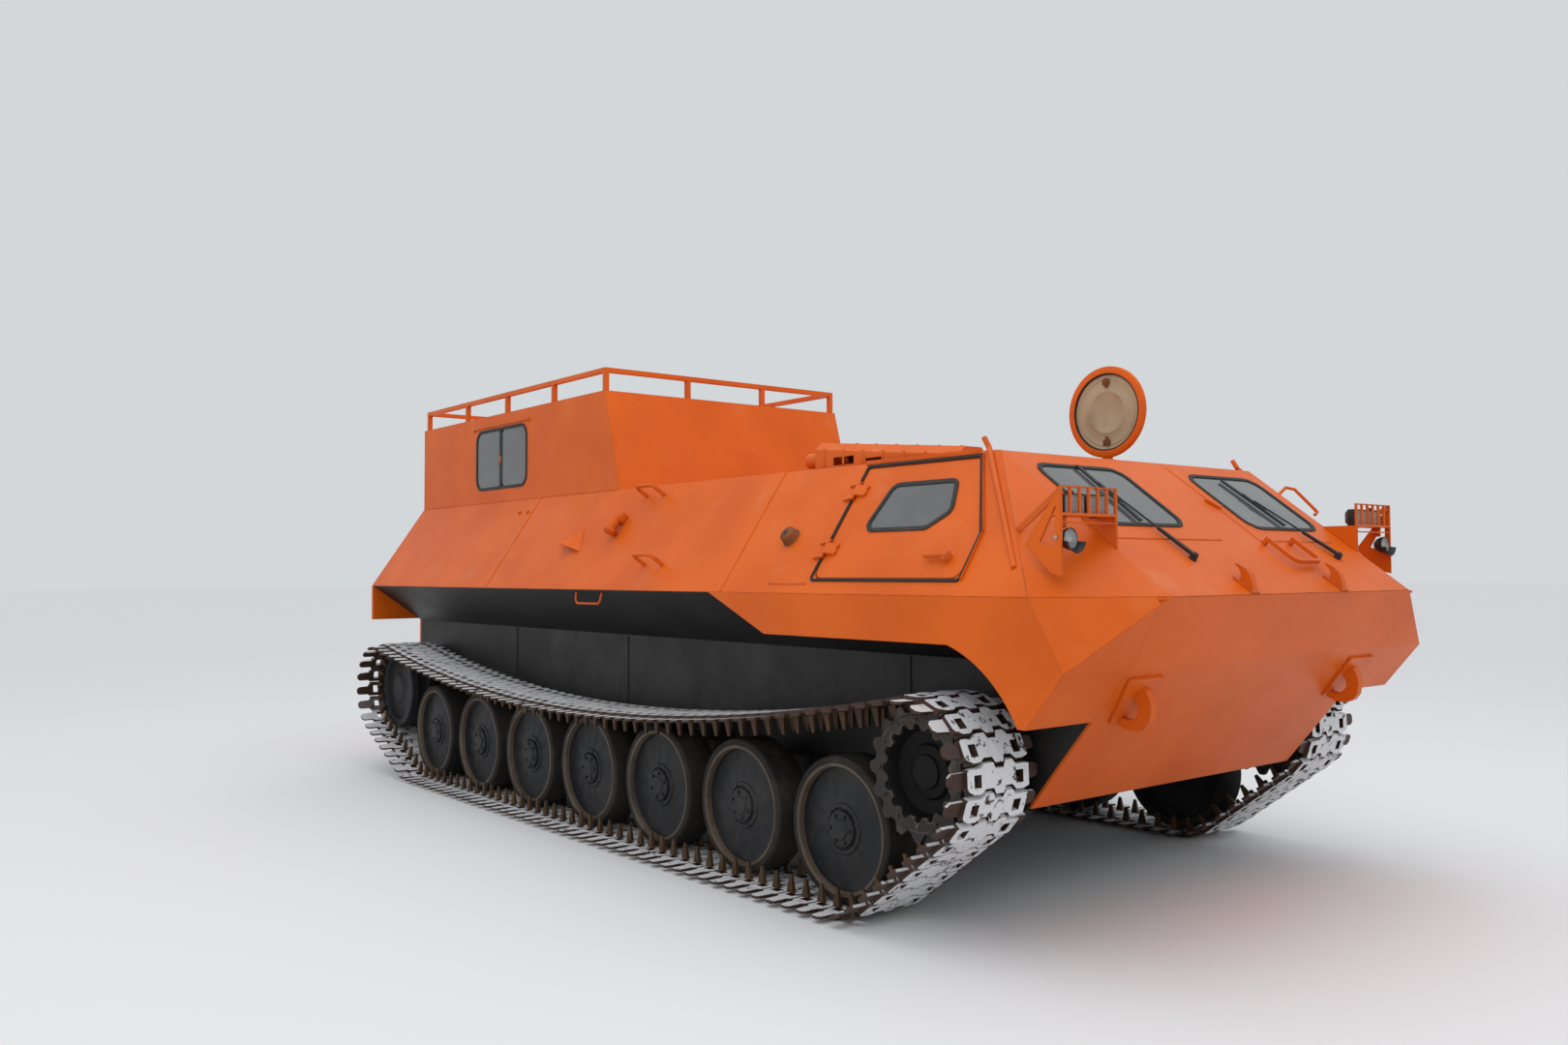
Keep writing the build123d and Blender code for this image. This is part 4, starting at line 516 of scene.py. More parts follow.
# Circles of the belt's inside: x, z, radius
belt = {
    "sprocket": (station(0.915), 0.705, 0.293), "idler": (station(6.790), 0.640, 0.315),
    "front": (station(1.490) + 0.064, 0.3723, 0.3353), "rear": (station(1.490 + 6 * 0.761) - 0.064, 0.3723, 0.3353),
    "lean": 10.0, "sagZ": 0.7088, "pitch": 0.111,
}
shoe = {
    "along": (-0.485, -0.25, 0.25, 0.485),  # share of the pitch from the middle
    # distance out from the vehicle's middle, share of the length, shift along the belt
    "across": (
        (1.066, 0.3, -0.004), (1.078, 0.5, -0.004), (1.130, 0.6, -0.002), (1.136, 0.88, 0.006),
        (1.170, 1.0, 0.010), (1.215, 1.0, 0.010), (1.238, 1.0, -0.014), (1.280, 1.0, -0.014), (1.292, 1.0, 0.016),
        (1.340, 1.0, 0.016), (1.352, 1.0, -0.010), (1.400, 1.0, -0.010), (1.425, 1.0, 0.008), (1.468, 1.0, 0.008),
        (1.500, 0.84, 0.0), (1.508, 0.6, -0.002), (1.580, 0.56, -0.004), (1.597, 0.3, -0.004),
    ),
    "windows": ((1.170, 1.215), (1.425, 1.468)), "windowHalf": 0.2,
    "plate": 0.013, "rise": 0.003, "body": (1.134, 1.504), "grouser": 0.0158, "grouserShare": (0.945, 0.985, 1),
    "horns": (1.180, 1.424), "horn": (0.044, 0.024, 0.082), "hornTip": (0.34, 0.5, 1), "hornAlong": 0.038,
    "pin": 0.0085, "pinLong": 0.34, "pinY": -1.325, "pinZ": 0.009,
}


def arcPoints(centre, radius, start, end, steps):
    angles = [math.radians(start + (end - start) * step / steps) for step in range(steps + 1)]
    return [(centre[0] + radius * math.cos(angle), centre[1] + radius * math.sin(angle)) for angle in angles]


def tangentAngle(first, second):  # direction in which both circles' outer tangent on the left touches
    heading = math.atan2(second[1] - first[1], second[0] - first[0])
    return math.degrees(heading + math.asin((second[2] - first[2]) / math.dist(first[:2], second[:2]))) + 90


def throughPoints(a, b, c, steps):  # arc through three points
    d = 2 * (a[0] * (b[1] - c[1]) + b[0] * (c[1] - a[1]) + c[0] * (a[1] - b[1]))
    squares = [p[0] ** 2 + p[1] ** 2 for p in (a, b, c)]
    x = (squares[0] * (b[1] - c[1]) + squares[1] * (c[1] - a[1]) + squares[2] * (a[1] - b[1])) / d
    z = (squares[0] * (c[0] - b[0]) + squares[1] * (a[0] - c[0]) + squares[2] * (b[0] - a[0])) / d
    start, end = [math.degrees(math.atan2(p[1] - z, p[0] - x)) for p in (a, c)]
    return arcPoints((x, z), math.dist((x, z), a), start, end, steps)


def beltLine():  # inside of the track, clockwise as seen from the right, from the sprocket's top
    sprocketRing, front, rear, idlerRing = [belt[key] for key in ("sprocket", "front", "rear", "idler")]
    offSprocket = tangentAngle(sprocketRing, front)
    offRear = tangentAngle(rear, idlerRing)
    if offRear > 90:
        offRear -= 360
    line = arcPoints(sprocketRing, sprocketRing[2], 90 + belt["lean"], offSprocket, 60)
    line += arcPoints(front, front[2], offSprocket, -90, 24)
    line += arcPoints(rear, rear[2], -90, offRear, 24)
    line += arcPoints(idlerRing, idlerRing[2], offRear, -270 - belt["lean"], 60)
    sag = ((line[0][0] + line[-1][0]) / 2, belt["sagZ"])
    return line + throughPoints(line[-1], sag, line[0], 80)[1:]


def beltPlaces():  # middle of each shoe with its direction, at equal steps
    line = beltLine()
    runs = [math.dist(a, b) for a, b in zip(line, line[1:])]
    count = round(sum(runs) / belt["pitch"])
    step = sum(runs) / count
    places = []
    for number in range(count):
        left = (number + 0.5) * step
        for (a, b), run in zip(zip(line, line[1:]), runs):
            if left <= run:
                spot = (a[0] + (b[0] - a[0]) * left / run, a[1] + (b[1] - a[1]) * left / run)
                places.append((spot, ((b[0] - a[0]) / run, (b[1] - a[1]) / run)))
                break
            left -= run
    print("track shoes a side:", count, "at", round(step, 4))
    return places


def makeShoe():  # x along the belt, y to the vehicle's left, z away from the wheels
    columns, rows = len(shoe["along"]), len(shoe["across"])
    bpy.ops.mesh.primitive_grid_add(x_subdivisions=columns - 1, y_subdivisions=rows - 1, size=1)
    plate = bpy.context.object
    for vert in plate.data.vertices:
        column, row = round((vert.co.x + 0.5) * (columns - 1)), round((vert.co.y + 0.5) * (rows - 1))
        out, narrow, shift = shoe["across"][row]
        vert.co = (shoe["along"][column] * narrow * belt["pitch"] + shift, -out, shoe["plate"] + shoe["rise"])
    dropFaces(plate, lambda face: any(low < -face.calc_center_median().y < high for low, high in shoe["windows"])
              and abs(face.calc_center_median().x) < shoe["windowHalf"] * belt["pitch"])
    openEdit(plate)
    bpy.ops.mesh.normals_make_consistent(inside=False)
    if sum(face.normal.z for face in bmesh.from_edit_mesh(plate.data).faces) < 0:
        bpy.ops.mesh.flip_normals()
    leaveEdit()
    modify(plate, "SOLIDIFY", thickness=shoe["plate"], offset=-1)
    low, high = shoe["body"]
    pick(plate, lambda face: face.normal.z > 0.9 and low < -face.calc_center_median().y < high)
    extrude((0, 0, shoe["grouser"]), shoe["grouserShare"], (0, -(low + high) / 2, 0))
    closeEdit()
    coat(plate, "trackSteel")
    paintFaces(plate, "packedSnow", lambda face: face.normal.z > 0.9 and face.center.z > shoe["plate"] + 0.01)
    parts = [plate]
    for out in shoe["horns"]:
        horn = block(shoe["horn"])
        pick(horn, lambda face: face.normal.z < -0.9)
        resize(shoe["hornTip"])
        closeEdit()
        horn.location = (shoe["hornAlong"], -out, shoe["rise"] - shoe["horn"][2] / 2)
        parts.append(coat(settle(horn), "hornSteel"))
    bpy.ops.mesh.primitive_cylinder_add(vertices=6, radius=shoe["pin"], depth=shoe["pinLong"],
                                        rotation=(math.pi / 2, 0, 0),
                                        location=(belt["pitch"] / 2, shoe["pinY"], shoe["pinZ"]))
    parts.append(coat(settle(bpy.context.object), "gearSteel"))
    return joinParts(parts)


def forget(*spares):
    for spare in spares:
        bpy.data.objects.remove(spare)


def makeTracks():
    first = makeShoe()
    copies = []
    for (x, z), (alongX, alongZ) in beltPlaces():
        turn = Matrix(((alongX, 0, -alongZ, x), (0, 1, 0, 0), (alongZ, 0, alongX, z), (0, 0, 0, 1)))
        copies.append(copyOf(first, turn))
    forget(first)
    right, left = bothSides(joinParts(copies))
    finishPiece(right, "track_shoes_r", "hull", ["track_r"], 25)
    finishPiece(left, "track_shoes_l", "hull", ["track_l"], 25)


makeTracks()
print("tracks made")

# Rings: radius, place along the axle from the outer face. Bolts: count, circle, place along the axle, turn,
# radius and height of the head, finish
wheel = {
    "count": 7, "pitch": 0.761, "firstBack": 1.490, "z": 0.3723, "outerY": 1.397, "steps": 48, "spin": 0.7,
    "looks": {"tyre": "tyreRubber", "rim": "rimWorn", "disc": "discBlack", "back": "discBlack"},
    "tyre": ((0.299, -0.180), (0.325, -0.180), (0.333, -0.172), (0.335, -0.160), (0.335, -0.020), (0.332, -0.007),
             (0.322, 0.0), (0.300, 0.0)),
    "rim": ((0.300, 0.0), (0.297, -0.001), (0.286, -0.001), (0.283, -0.006), (0.280, -0.03)),
    "disc": ((0.280, -0.03), (0.276, -0.048), (0.262, -0.052), (0.20, -0.046), (0.15, -0.038), (0.118, -0.032),
             (0.114, -0.025), (0.108, -0.022), (0.098, -0.022), (0.094, -0.03), (0.088, -0.03), (0.084, -0.013),
             (0.076, -0.009), (0.05, -0.008), (0.046, -0.002), (0.02, -0.001), (0.0, -0.001)),
    "back": ((0.299, -0.180), (0.285, -0.178), (0.275, -0.120), (0.1, -0.1), (0.07, -0.17), (0.0, -0.17)),
    "ribs": 12, "ribHeight": 0.004, "ribbed": (0.13, 0.27),
    "bolts": ((6, 0.066, -0.0095, 0.0, 0.009, 0.008, "discBlack"), (6, 0.103, -0.0225, 0.3, 0.006, 0.004, "gearSteel")),
}
sprocket = {
    "rings": (1.190, 1.440), "ringThick": 0.024, "teeth": 16, "ringInner": 0.72, "steps": 40, "housingY": 1.195,
    # share of a tooth's pitch, radius
    "tooth": ((-0.5, 0.252), (-0.34, 0.256), (-0.24, 0.272), (-0.13, 0.287), (0.13, 0.287), (0.24, 0.272),
              (0.34, 0.256)),
    # the dish and drum get the near-black whose colour is painted shade from under the track
    "looks": {"dish": "oilBlack", "drum": "oilBlack"},
    "drum": ((0.0, -0.464), (0.16, -0.464), (0.21, -0.455), (0.214, -0.41), (0.17, -0.39), (0.17, -0.27),
             (0.205, -0.25), (0.212, -0.21), (0.21, -0.2)),
    "dish": ((0.245, 0.0), (0.235, -0.004), (0.2, -0.006), (0.19, -0.02), (0.175, -0.07), (0.12, -0.085),
             (0.11, -0.07), (0.075, -0.062), (0.07, -0.05), (0.0, -0.05)),
    "bolts": ((12, 0.222, 0.0, 0.0, 0.008, 0.006, "gearSteel"),),
    "housing": ((0.0, 0.0), (0.15, 0.0), (0.19, -0.03), (0.19, -0.16), (0.18, -0.165)),
}
idler = {
    "outerY": 1.397, "steps": 48, "looks": {"face": "discBlack", "back": "discBlack"},
    "face": ((0.24, -0.2), (0.295, -0.2), (0.307, -0.190), (0.309, -0.14), (0.290, -0.13), (0.290, -0.07),
             (0.309, -0.06), (0.307, -0.008), (0.300, 0.0), (0.262, 0.0), (0.245, -0.012), (0.238, -0.04),
             (0.12, -0.03), (0.1, -0.012), (0.09, -0.006), (0.05, -0.004), (0.0, -0.004)),
    "back": ((0.24, -0.2), (0.23, -0.15), (0.1, -0.13), (0.0, -0.13)),
    "crank": 0.23, "arm": (0.34, 0.05, 0.1), "armY": 1.168, "pivotY": 1.196,
    "pivot": ((0.0, 0.0), (0.052, 0.0), (0.06, -0.008), (0.06, -0.16)),
}


def ringParts(given):
    return [coat(turned(given[key], given["steps"]), name) for key, name in given["looks"].items()]


def boltRings(given):
    parts = []
    for count, circle, level, turn, radius, height, name in given["bolts"]:
        places = ringPlaces(circle, level, [angle + turn for angle in evenAngles(count)])
        parts.append(coat(boltHeads(places, radius, height), name))
    return parts


def onAxle(x, side, y, z):  # z of the part points out of the vehicle
    return at((x, side * y, z), Matrix.Rotation(-side * math.pi / 2, 4, "X"))


def makeWheels():
    parts = ringParts(wheel)
    low, high = wheel["ribbed"]
    for vert in parts[2].data.vertices:  # pressed ribs on the disc
        if low < math.hypot(vert.co.x, vert.co.y) < high:
            vert.co.z += wheel["ribHeight"] * math.cos(wheel["ribs"] * math.atan2(vert.co.y, vert.co.x))
    first = joinParts(parts + boltRings(wheel))
    copies = []
    for side in (-1, 1):
        for number in range(wheel["count"]):
            x = station(wheel["firstBack"] + number * wheel["pitch"])
            spin = Matrix.Rotation(wheel["spin"] * number, 4, "Z")
            copies.append(copyOf(first, onAxle(x, side, wheel["outerY"], wheel["z"]) @ spin))
    forget(first)
    finishPiece(joinParts(copies), "wheel_set", "hull", ["road_wheels"], 30)


def makeGearRing():
    points = []
    for number in range(sprocket["teeth"]):
        for share, radius in sprocket["tooth"]:
            angle = 2 * math.pi * (number + share) / sprocket["teeth"]
            points.append((radius * math.cos(angle), radius * math.sin(angle)))
    bpy.ops.mesh.primitive_circle_add(vertices=len(points), radius=0.25, fill_type="NOTHING")
    ring = bpy.context.object
    order = sorted(ring.data.vertices, key=lambda vert: math.atan2(vert.co.y, vert.co.x) % (2 * math.pi))
    places = sorted(points, key=lambda point: math.atan2(point[1], point[0]) % (2 * math.pi))
    for vert, place in zip(order, places):
        vert.co = (*place, 0)
    openEdit(ring, "EDGE")
    extrude((0, 0, 0), (sprocket["ringInner"], sprocket["ringInner"], 1), (0, 0, 0))
    bpy.ops.mesh.select_all(action="SELECT")
    bpy.ops.mesh.normals_make_consistent(inside=False)
    leaveEdit()
    modify(ring, "SOLIDIFY", thickness=sprocket["ringThick"], offset=0)
    roundEdges(ring, 0.002, 1, 50)
    return coat(ring, "gearSteel")


def makeSprockets():
    x, z = belt["sprocket"][:2]
    outer = sprocket["rings"][1] + sprocket["ringThick"]
    gear = makeGearRing()
    hub = joinParts(ringParts(sprocket) + boltRings(sprocket))
    parts = []
    for side in (-1, 1):
        for ringY in sprocket["rings"]:
            parts.append(copyOf(gear, onAxle(x, side, ringY + sprocket["ringThick"] / 2, z)))
        parts.append(copyOf(hub, onAxle(x, side, outer, z)))
        housing = moved(turned(sprocket["housing"], 32), onAxle(x, side, sprocket["housingY"], z))
        parts.append(coat(housing, "hullBlack"))
    forget(gear, hub)
    finishPiece(joinParts(parts), "sprocket_set", "hull", ["sprockets"], 35)


def makeIdlers():
    x, z = belt["idler"][:2]
    first = joinParts(ringParts(idler))
    parts = []
    for side in (-1, 1):
        parts.append(copyOf(first, onAxle(x, side, idler["outerY"], z)))
        arm = slab(idler["arm"], (x + idler["crank"] / 2, side * idler["armY"], z), 0.02)
        pivot = moved(turned(idler["pivot"], 24), onAxle(x + idler["crank"], side, idler["pivotY"], z))
        parts += [coat(arm, "hullBlack"), coat(pivot, "hullBlack")]
    forget(first)
    finishPiece(joinParts(parts), "idler_set", "hull", ["idlers"], 35)


makeWheels()
makeSprockets()
makeIdlers()
print("running gear made")

slopeRun, slopeRise = hull["slope"]
deckRun, deckRise = hull["deck"]
lastRow = (0, 0, 0, 1)
slopeFrame = Matrix(((1, 0, 0, hull["noseX"]), (0, slopeRun, -slopeRise, -hull["waistY"]),
                     (0, slopeRise, slopeRun, hull["waistZ"]), lastRow))  # x ahead, y up the right slope
deckFrame = Matrix(((0, -deckRun, deckRise, hull["noseX"]), (1, 0, 0, 0), (0, deckRise, deckRun, hull["waistZ"]),
                    lastRow))  # x left, y up the deck
sideFrame = Matrix(((1, 0, 0, 0), (0, 0, -1, -hull["roofY"]), (0, 1, 0, 0), lastRow))  # on the right cabin side
tailFrame = Matrix(((0, 0, -1, hull["tailX"]), (-1, 0, 0, 0), (0, 1, 0, 0), lastRow))  # x right, z to the rear
faceAhead = Matrix.Rotation(math.pi / 2, 4, "Y")


def neighbours(corners):  # each corner with the ones before and after it
    return zip(corners[-1:] + corners[:-1], corners, corners[1:] + corners[:1])


def shiftedCorners(corners, amount):  # a polygon's corners, every edge moved inwards
    turning = sum(a[0] * b[1] - b[0] * a[1] for a, b in zip(corners, corners[1:] + corners[:1]))
    way = amount if turning > 0 else -amount
    result = []
    for before, here, after in neighbours(corners):
        first = (Vector(here) - Vector(before)).normalized()
        second = (Vector(after) - Vector(here)).normalized()
        firstOut, secondOut = Vector((-first.y, first.x)), Vector((-second.y, second.x))
        share = (firstOut + secondOut) / (1 + firstOut.dot(secondOut))
        result.append((here[0] + share.x * way, here[1] + share.y * way))
    return result


def roundedOutline(corners, radius, steps=5):
    points = []
    for corner in neighbours(corners):
        before, here, after = [Vector(point) for point in corner]
        back, ahead = before - here, after - here
        reach = min(radius / math.tan(back.angle(ahead) / 2), back.length * 0.45, ahead.length * 0.45)
        start, end = here + back.normalized() * reach, here + ahead.normalized() * reach
        for step in range(steps + 1):
            t = step / steps
            points.append(tuple((1 - t) ** 2 * start + 2 * t * (1 - t) * here + t * t * end))
    return points


def rectangle(x, y, length, width):
    right, up = length / 2, width / 2
    return [(x - right, y - up), (x + right, y - up), (x + right, y + up), (x - right, y + up)]


def flatPlate(outline, low, high):  # a plate of that outline between two heights
    bpy.ops.mesh.primitive_circle_add(vertices=len(outline), radius=1, fill_type="NGON")
    plate = bpy.context.object
    for vert, point in zip(plate.data.vertices, outline):
        vert.co = (*point, low)
    openEdit(plate)
    extrude((0, 0, high - low))
    closeEdit()
    return plate


def isFlat(face):
    return abs(face.normal.z) > 0.9


def ringPlate(outline, inner, low, high):  # a flat band between two outlines of as many points
    walls = [flatPlate(outline, low, high), flatPlate(inner, low, high)]
    for wall in walls:
        dropFaces(wall, isFlat)
    band = joinParts(walls)
    for level in (low, high):
        pick(band, lambda edge: all(abs(vert.co.z - level) < 0.00001 for vert in edge.verts), "EDGE")
        bpy.ops.mesh.bridge_edge_loops()
        leaveEdit()
    openEdit(band)
    closeEdit()
    return band


def barBetween(first, last, widths, low, high, soften):  # tapered bar between two points of a flat drawing
    start, end = Vector(first), Vector(last)
    bar = block(((end - start).length, 1, high - low))
    for vert in bar.data.vertices:
        vert.co.y *= widths[0] if vert.co.x < 0 else widths[1]
    if soften:
        roundEdges(bar, soften, 1)
    middle = (start + end) / 2
    turn = Matrix.Rotation(math.atan2(end.y - start.y, end.x - start.x), 4, "Z")
    return settle(moved(bar, at((middle.x, middle.y, (low + high) / 2), turn)))


pane = {
    "door": [(-1.490, 0.345), (-1.070, 0.345), (-0.950, 0.440), (-1.010, 0.630), (-1.430, 0.630)], "doorCorner": 0.030,
    "screen": [(0.262, 0.485), (0.895, 0.485), (0.895, 0.965), (0.262, 0.965)], "screenCorner": 0.075,
    "cabin": (-2.135, 2.409, 0.855, 0.466, 0.072, 0.040),  # middle x, z, length, height, corner, middle bar
    "lap": 0.0123, "thick": 0.006, "top": -0.0004, "rings": (0.006, 0.008), "frostReach": 0.0145,
}
doorTrim = {
    "outline": [(-1.665, 0.090), (-0.740, 0.090), (-0.740, 0.320), (-0.945, 0.735), (-1.665, 0.735)],
    "gasketAway": 0.0137, "gasketCorner": 0.022, "gasketRadius": 0.008, "gasketZ": 0.002,
    "gutter": ((-1.700, 0.7585), (-0.932, 0.7585), (-0.716, 0.326), (-0.716, 0.075)),
    "gutterBar": ((0.004, 0.004), -0.001, 0.012, 0.0012),  # widths, low, high, softening
    "bossPlace": (-0.848, 0.191),
    "boss": ((0.0, 0.031), (0.016, 0.031), (0.0235, 0.027), (0.0255, 0.02), (0.0255, 0.004), (0.03, 0.0)),
    "lever": ((-0.831, 0.025), (-0.938, 0.025), (-0.973, 0.024)), "leverRadius": 0.0112, "tipX": -0.977,
    "tip": ((0.0, 0.0), (0.008, -0.001), (0.0125, -0.006), (0.0125, -0.02), (0.0105, -0.024)),
    "hingeUps": (0.250, 0.595), "hingeX": -1.600, "hingeBolts": (-0.018, 0.018), "boltZ": 0.004, "bolt": (0.008, 0.006),
}


def edgeDistance(point, outline):
    nearest = 9.0
    for a, b in zip(outline, outline[1:] + outline[:1]):
        first, span = Vector(a), Vector(b) - Vector(a)
        share = max(0.0, min(1.0, (point - first).dot(span) / max(span.length_squared, 1e-12)))
        nearest = min(nearest, (first + span * share - point).length)
    return nearest


def makePane(corners, radius):
    outline = roundedOutline(shiftedCorners(corners, pane["lap"]), radius)
    sheet = flatPlate(outline, pane["top"] - pane["thick"], pane["top"])
    pick(sheet, isFlat)
    for width in pane["rings"]:
        bpy.ops.mesh.inset(thickness=width, use_individual=True)
    leaveEdit()
    frost = sheet.data.attributes.new("frost", "FLOAT", "POINT")
    near = [edgeDistance(vert.co.xy, outline) for vert in sheet.data.vertices]
    frost.data.foreach_set("value", [max(0.0, 1 - distance / pane["frostReach"]) for distance in near])
    return coat(sheet, "windowGlass")


def makeWindows():
    door, left = bothSides(placed(makePane(pane["door"], pane["doorCorner"]), slopeFrame))
    finishPiece(door, "door_pane_r", "door_right", ["door_glass_r"])
    finishPiece(left, "door_pane_l", "door_left", ["door_glass_l"])
    sheets = bothSides(placed(makePane(pane["screen"], pane["screenCorner"]), deckFrame))
    x, z, length, height, corner, bar = pane["cabin"]
    half = (length - bar) / 2 + pane["lap"]
    for way in (-1, 1):
        corners = rectangle(x + way * (length - half) / 2, z, half, height)
        sheets += bothSides(placed(makePane(corners, corner), sideFrame))
    finishPiece(joinParts(sheets), "window_panes", "hull", ["window_glass"])


def makeDoorTrim():
    corners = shiftedCorners(doorTrim["outline"], -doorTrim["gasketAway"])
    outline = roundedOutline(corners, doorTrim["gasketCorner"], 4)
    seal = rod([(*point, doorTrim["gasketZ"]) for point in outline], doorTrim["gasketRadius"], 8, True)
    seal = coat(placed(seal, slopeFrame), "sealRubber")
    finishPiece(joinParts(bothSides(seal)), "door_gaskets", "hull")
    gutter = doorTrim["gutter"]
    lips = [placed(barBetween(a, b, *doorTrim["gutterBar"]), slopeFrame) for a, b in zip(gutter, gutter[1:])]
    lip = coat(joinParts(lips), "orangePaint")
    finishPiece(joinParts(bothSides(lip)), "door_gutters", "hull")
    x, up = doorTrim["bossPlace"]
    boss = moved(turned(doorTrim["boss"], 24), at((x, up, 0)))
    bar = rod([(leverX, up, z) for leverX, z in doorTrim["lever"]], doorTrim["leverRadius"], 12)
    tipPlace = at((doorTrim["tipX"], up, doorTrim["lever"][-1][1]), Matrix.Rotation(-math.pi / 2, 4, "Y"))
    parts = [boss, bar, moved(turned(doorTrim["tip"], 16), tipPlace)]
    for hingeUp in doorTrim["hingeUps"]:
        places = [(doorTrim["hingeX"], hingeUp + shift, doorTrim["boltZ"]) for shift in doorTrim["hingeBolts"]]
        parts.append(boltHeads(places, *doorTrim["bolt"]))
    lever, left = bothSides(coat(placed(joinParts(parts), slopeFrame), "orangePaint"))
    finishPiece(lever, "door_lever_r", "door_right")
    finishPiece(left, "door_lever_l", "door_left")


makeWindows()
makeDoorTrim()
print("windows and door trim made")

hatch = {
    "middle": (2.321, 0.424, 2.404), "steps": 64,
    "looks": {"shell": "orangePaint", "seal": "sealRubber", "pan": "creamPaint"},
    "shell": ((0.0, 0.0), (0.232, 0.0), (0.244, 0.003), (0.2485, 0.010), (0.2485, 0.020), (0.246, 0.0255),
              (0.241, 0.028), (0.212, 0.028), (0.210, 0.0265)),
    # dark rubber ring at the pan's edge: a seal, and also painted shade standing in for the shadow line round the
    # recessed pan
    "seal": ((0.210, 0.0265), (0.2085, 0.0285), (0.2045, 0.0275), (0.202, 0.0175)),
    "pan": ((0.202, 0.0175), (0.186, 0.0165), (0.183, 0.0185), (0.176, 0.0185), (0.173, 0.0165), (0.120, 0.0162),
            (0.117, 0.0178), (0.110, 0.0178), (0.107, 0.016), (0.0, 0.016)),
    # latch parts: size, x, distance from the middle, height
    "latches": (((0.046, 0.030, 0.008), 0.0, 0.165, 0.020), ((0.018, 0.052, 0.009), 0.004, 0.159, 0.0272)),
    "bracket": ((0.060, 0.017, 0.046), (2.321, 0.410, 2.149), 0.004),
    "knuckle": ([(2.290, 0.410, 2.135), (2.352, 0.410, 2.135)], 0.0085, 12),
}
# Places on the slope: station, height, distance out of the plate
fitting = {
    "scoopBase": ((4.087, 1.680), (4.208, 1.831), (4.409, 1.770)), "scoopPeak": (4.263, 1.734, 0.078),
    "scoopWall": 0.006, "filler": (3.770, 1.785, 0.045), "fillerFoot": (3.770, 1.880, 0.023),
    "footSize": (0.062, 0.062, 0.046), "lugSize": (0.012, 0.026, 0.016), "lugPlace": (0.045, 0.02),
    "cap": ((0.0, 0.002), (0.02, 0.002), (0.035, 0.005), (0.0425, 0.011), (0.0445, 0.018), (0.0445, 0.033),
            (0.040, 0.036), (0.030, 0.037), (0.0295, 0.12)),
    "breather": (1.995, 1.715),
    "valve": ((0.053, 0.0), (0.050, 0.004), (0.046, 0.012), (0.044, 0.034), (0.040, 0.042), (0.030, 0.047),
              (0.018, 0.049), (0.0, 0.049)),
    # black disc on the closed valve top: painted shade standing in for the dark inside of the opening
    "paintedMouthShade": ((0.0, 0.0495), (0.013, 0.0495), (0.015, 0.048)),
    "ventPlace": (station(1.018), -0.840),
    "vent": ((0.071, 0.0), (0.072, 0.003), (0.070, 0.010), (0.058, 0.016), (0.035, 0.021), (0.0, 0.024)),
    "ventBolts": (0.062, 2.091, (0.5, 1.55, 2.6, 3.64, 4.7, 5.73)), "ventBolt": (0.005, 0.004),
    "studs": ((5.194, 1.975), (5.321, 1.975)), "stud": (0.014, 0.012),
}


def coatAll(parts, name):
    return [coat(part, name) for part in parts]


def makeHatchCover():
    parts = ringParts(hatch)
    for side in (-1, 1):
        for size, x, away, height in hatch["latches"]:
            parts.append(coat(slab(size, (x, side * away, height), 0.003), "rustIron"))
    cover = placed(joinParts(parts), at(hatch["middle"], Matrix.Rotation(math.pi / 2, 4, "X")))
    hinge = coatAll([slab(*hatch["bracket"]), rod(*hatch["knuckle"])], "orangePaint")
    finishPiece(joinParts([cover, *hinge]), "hatch_cover", "hatch", ["hatch_lid"])


def slopeSpot(back, z, out=0.0):  # a place on the right slope by its station and height
    return Vector((-back, (z - hull["waistZ"] - slopeRun * out) / slopeRise, out))


def makeScoop():
    bpy.ops.mesh.primitive_circle_add(vertices=4, radius=1, fill_type="NOTHING")
    scoop = bpy.context.object
    spots = [slopeSpot(*point) for point in (*fitting["scoopBase"], fitting["scoopPeak"])]
    for vert, spot in zip(scoop.data.vertices, spots):
        vert.co = spot
    openEdit(scoop)
    bpy.ops.mesh.delete(type="EDGE_FACE")
    mesh = bmesh.from_edit_mesh(scoop.data)
    mesh.verts.ensure_lookup_table()
    for corners in ((0, 1, 3), (1, 2, 3)):
        mesh.faces.new([mesh.verts[number] for number in corners])
    bmesh.update_edit_mesh(scoop.data)
    bpy.ops.mesh.select_all(action="SELECT")
    bpy.ops.mesh.normals_make_consistent(inside=False)
    bpy.ops.mesh.subdivide(number_cuts=3, smoothness=0.35)
    leaveEdit()
    if sum(face.normal.z for face in scoop.data.polygons) < 0:
        scoop.data.flip_normals()
    modify(scoop, "SOLIDIFY", thickness=fitting["scoopWall"], offset=-1)
    return scoop


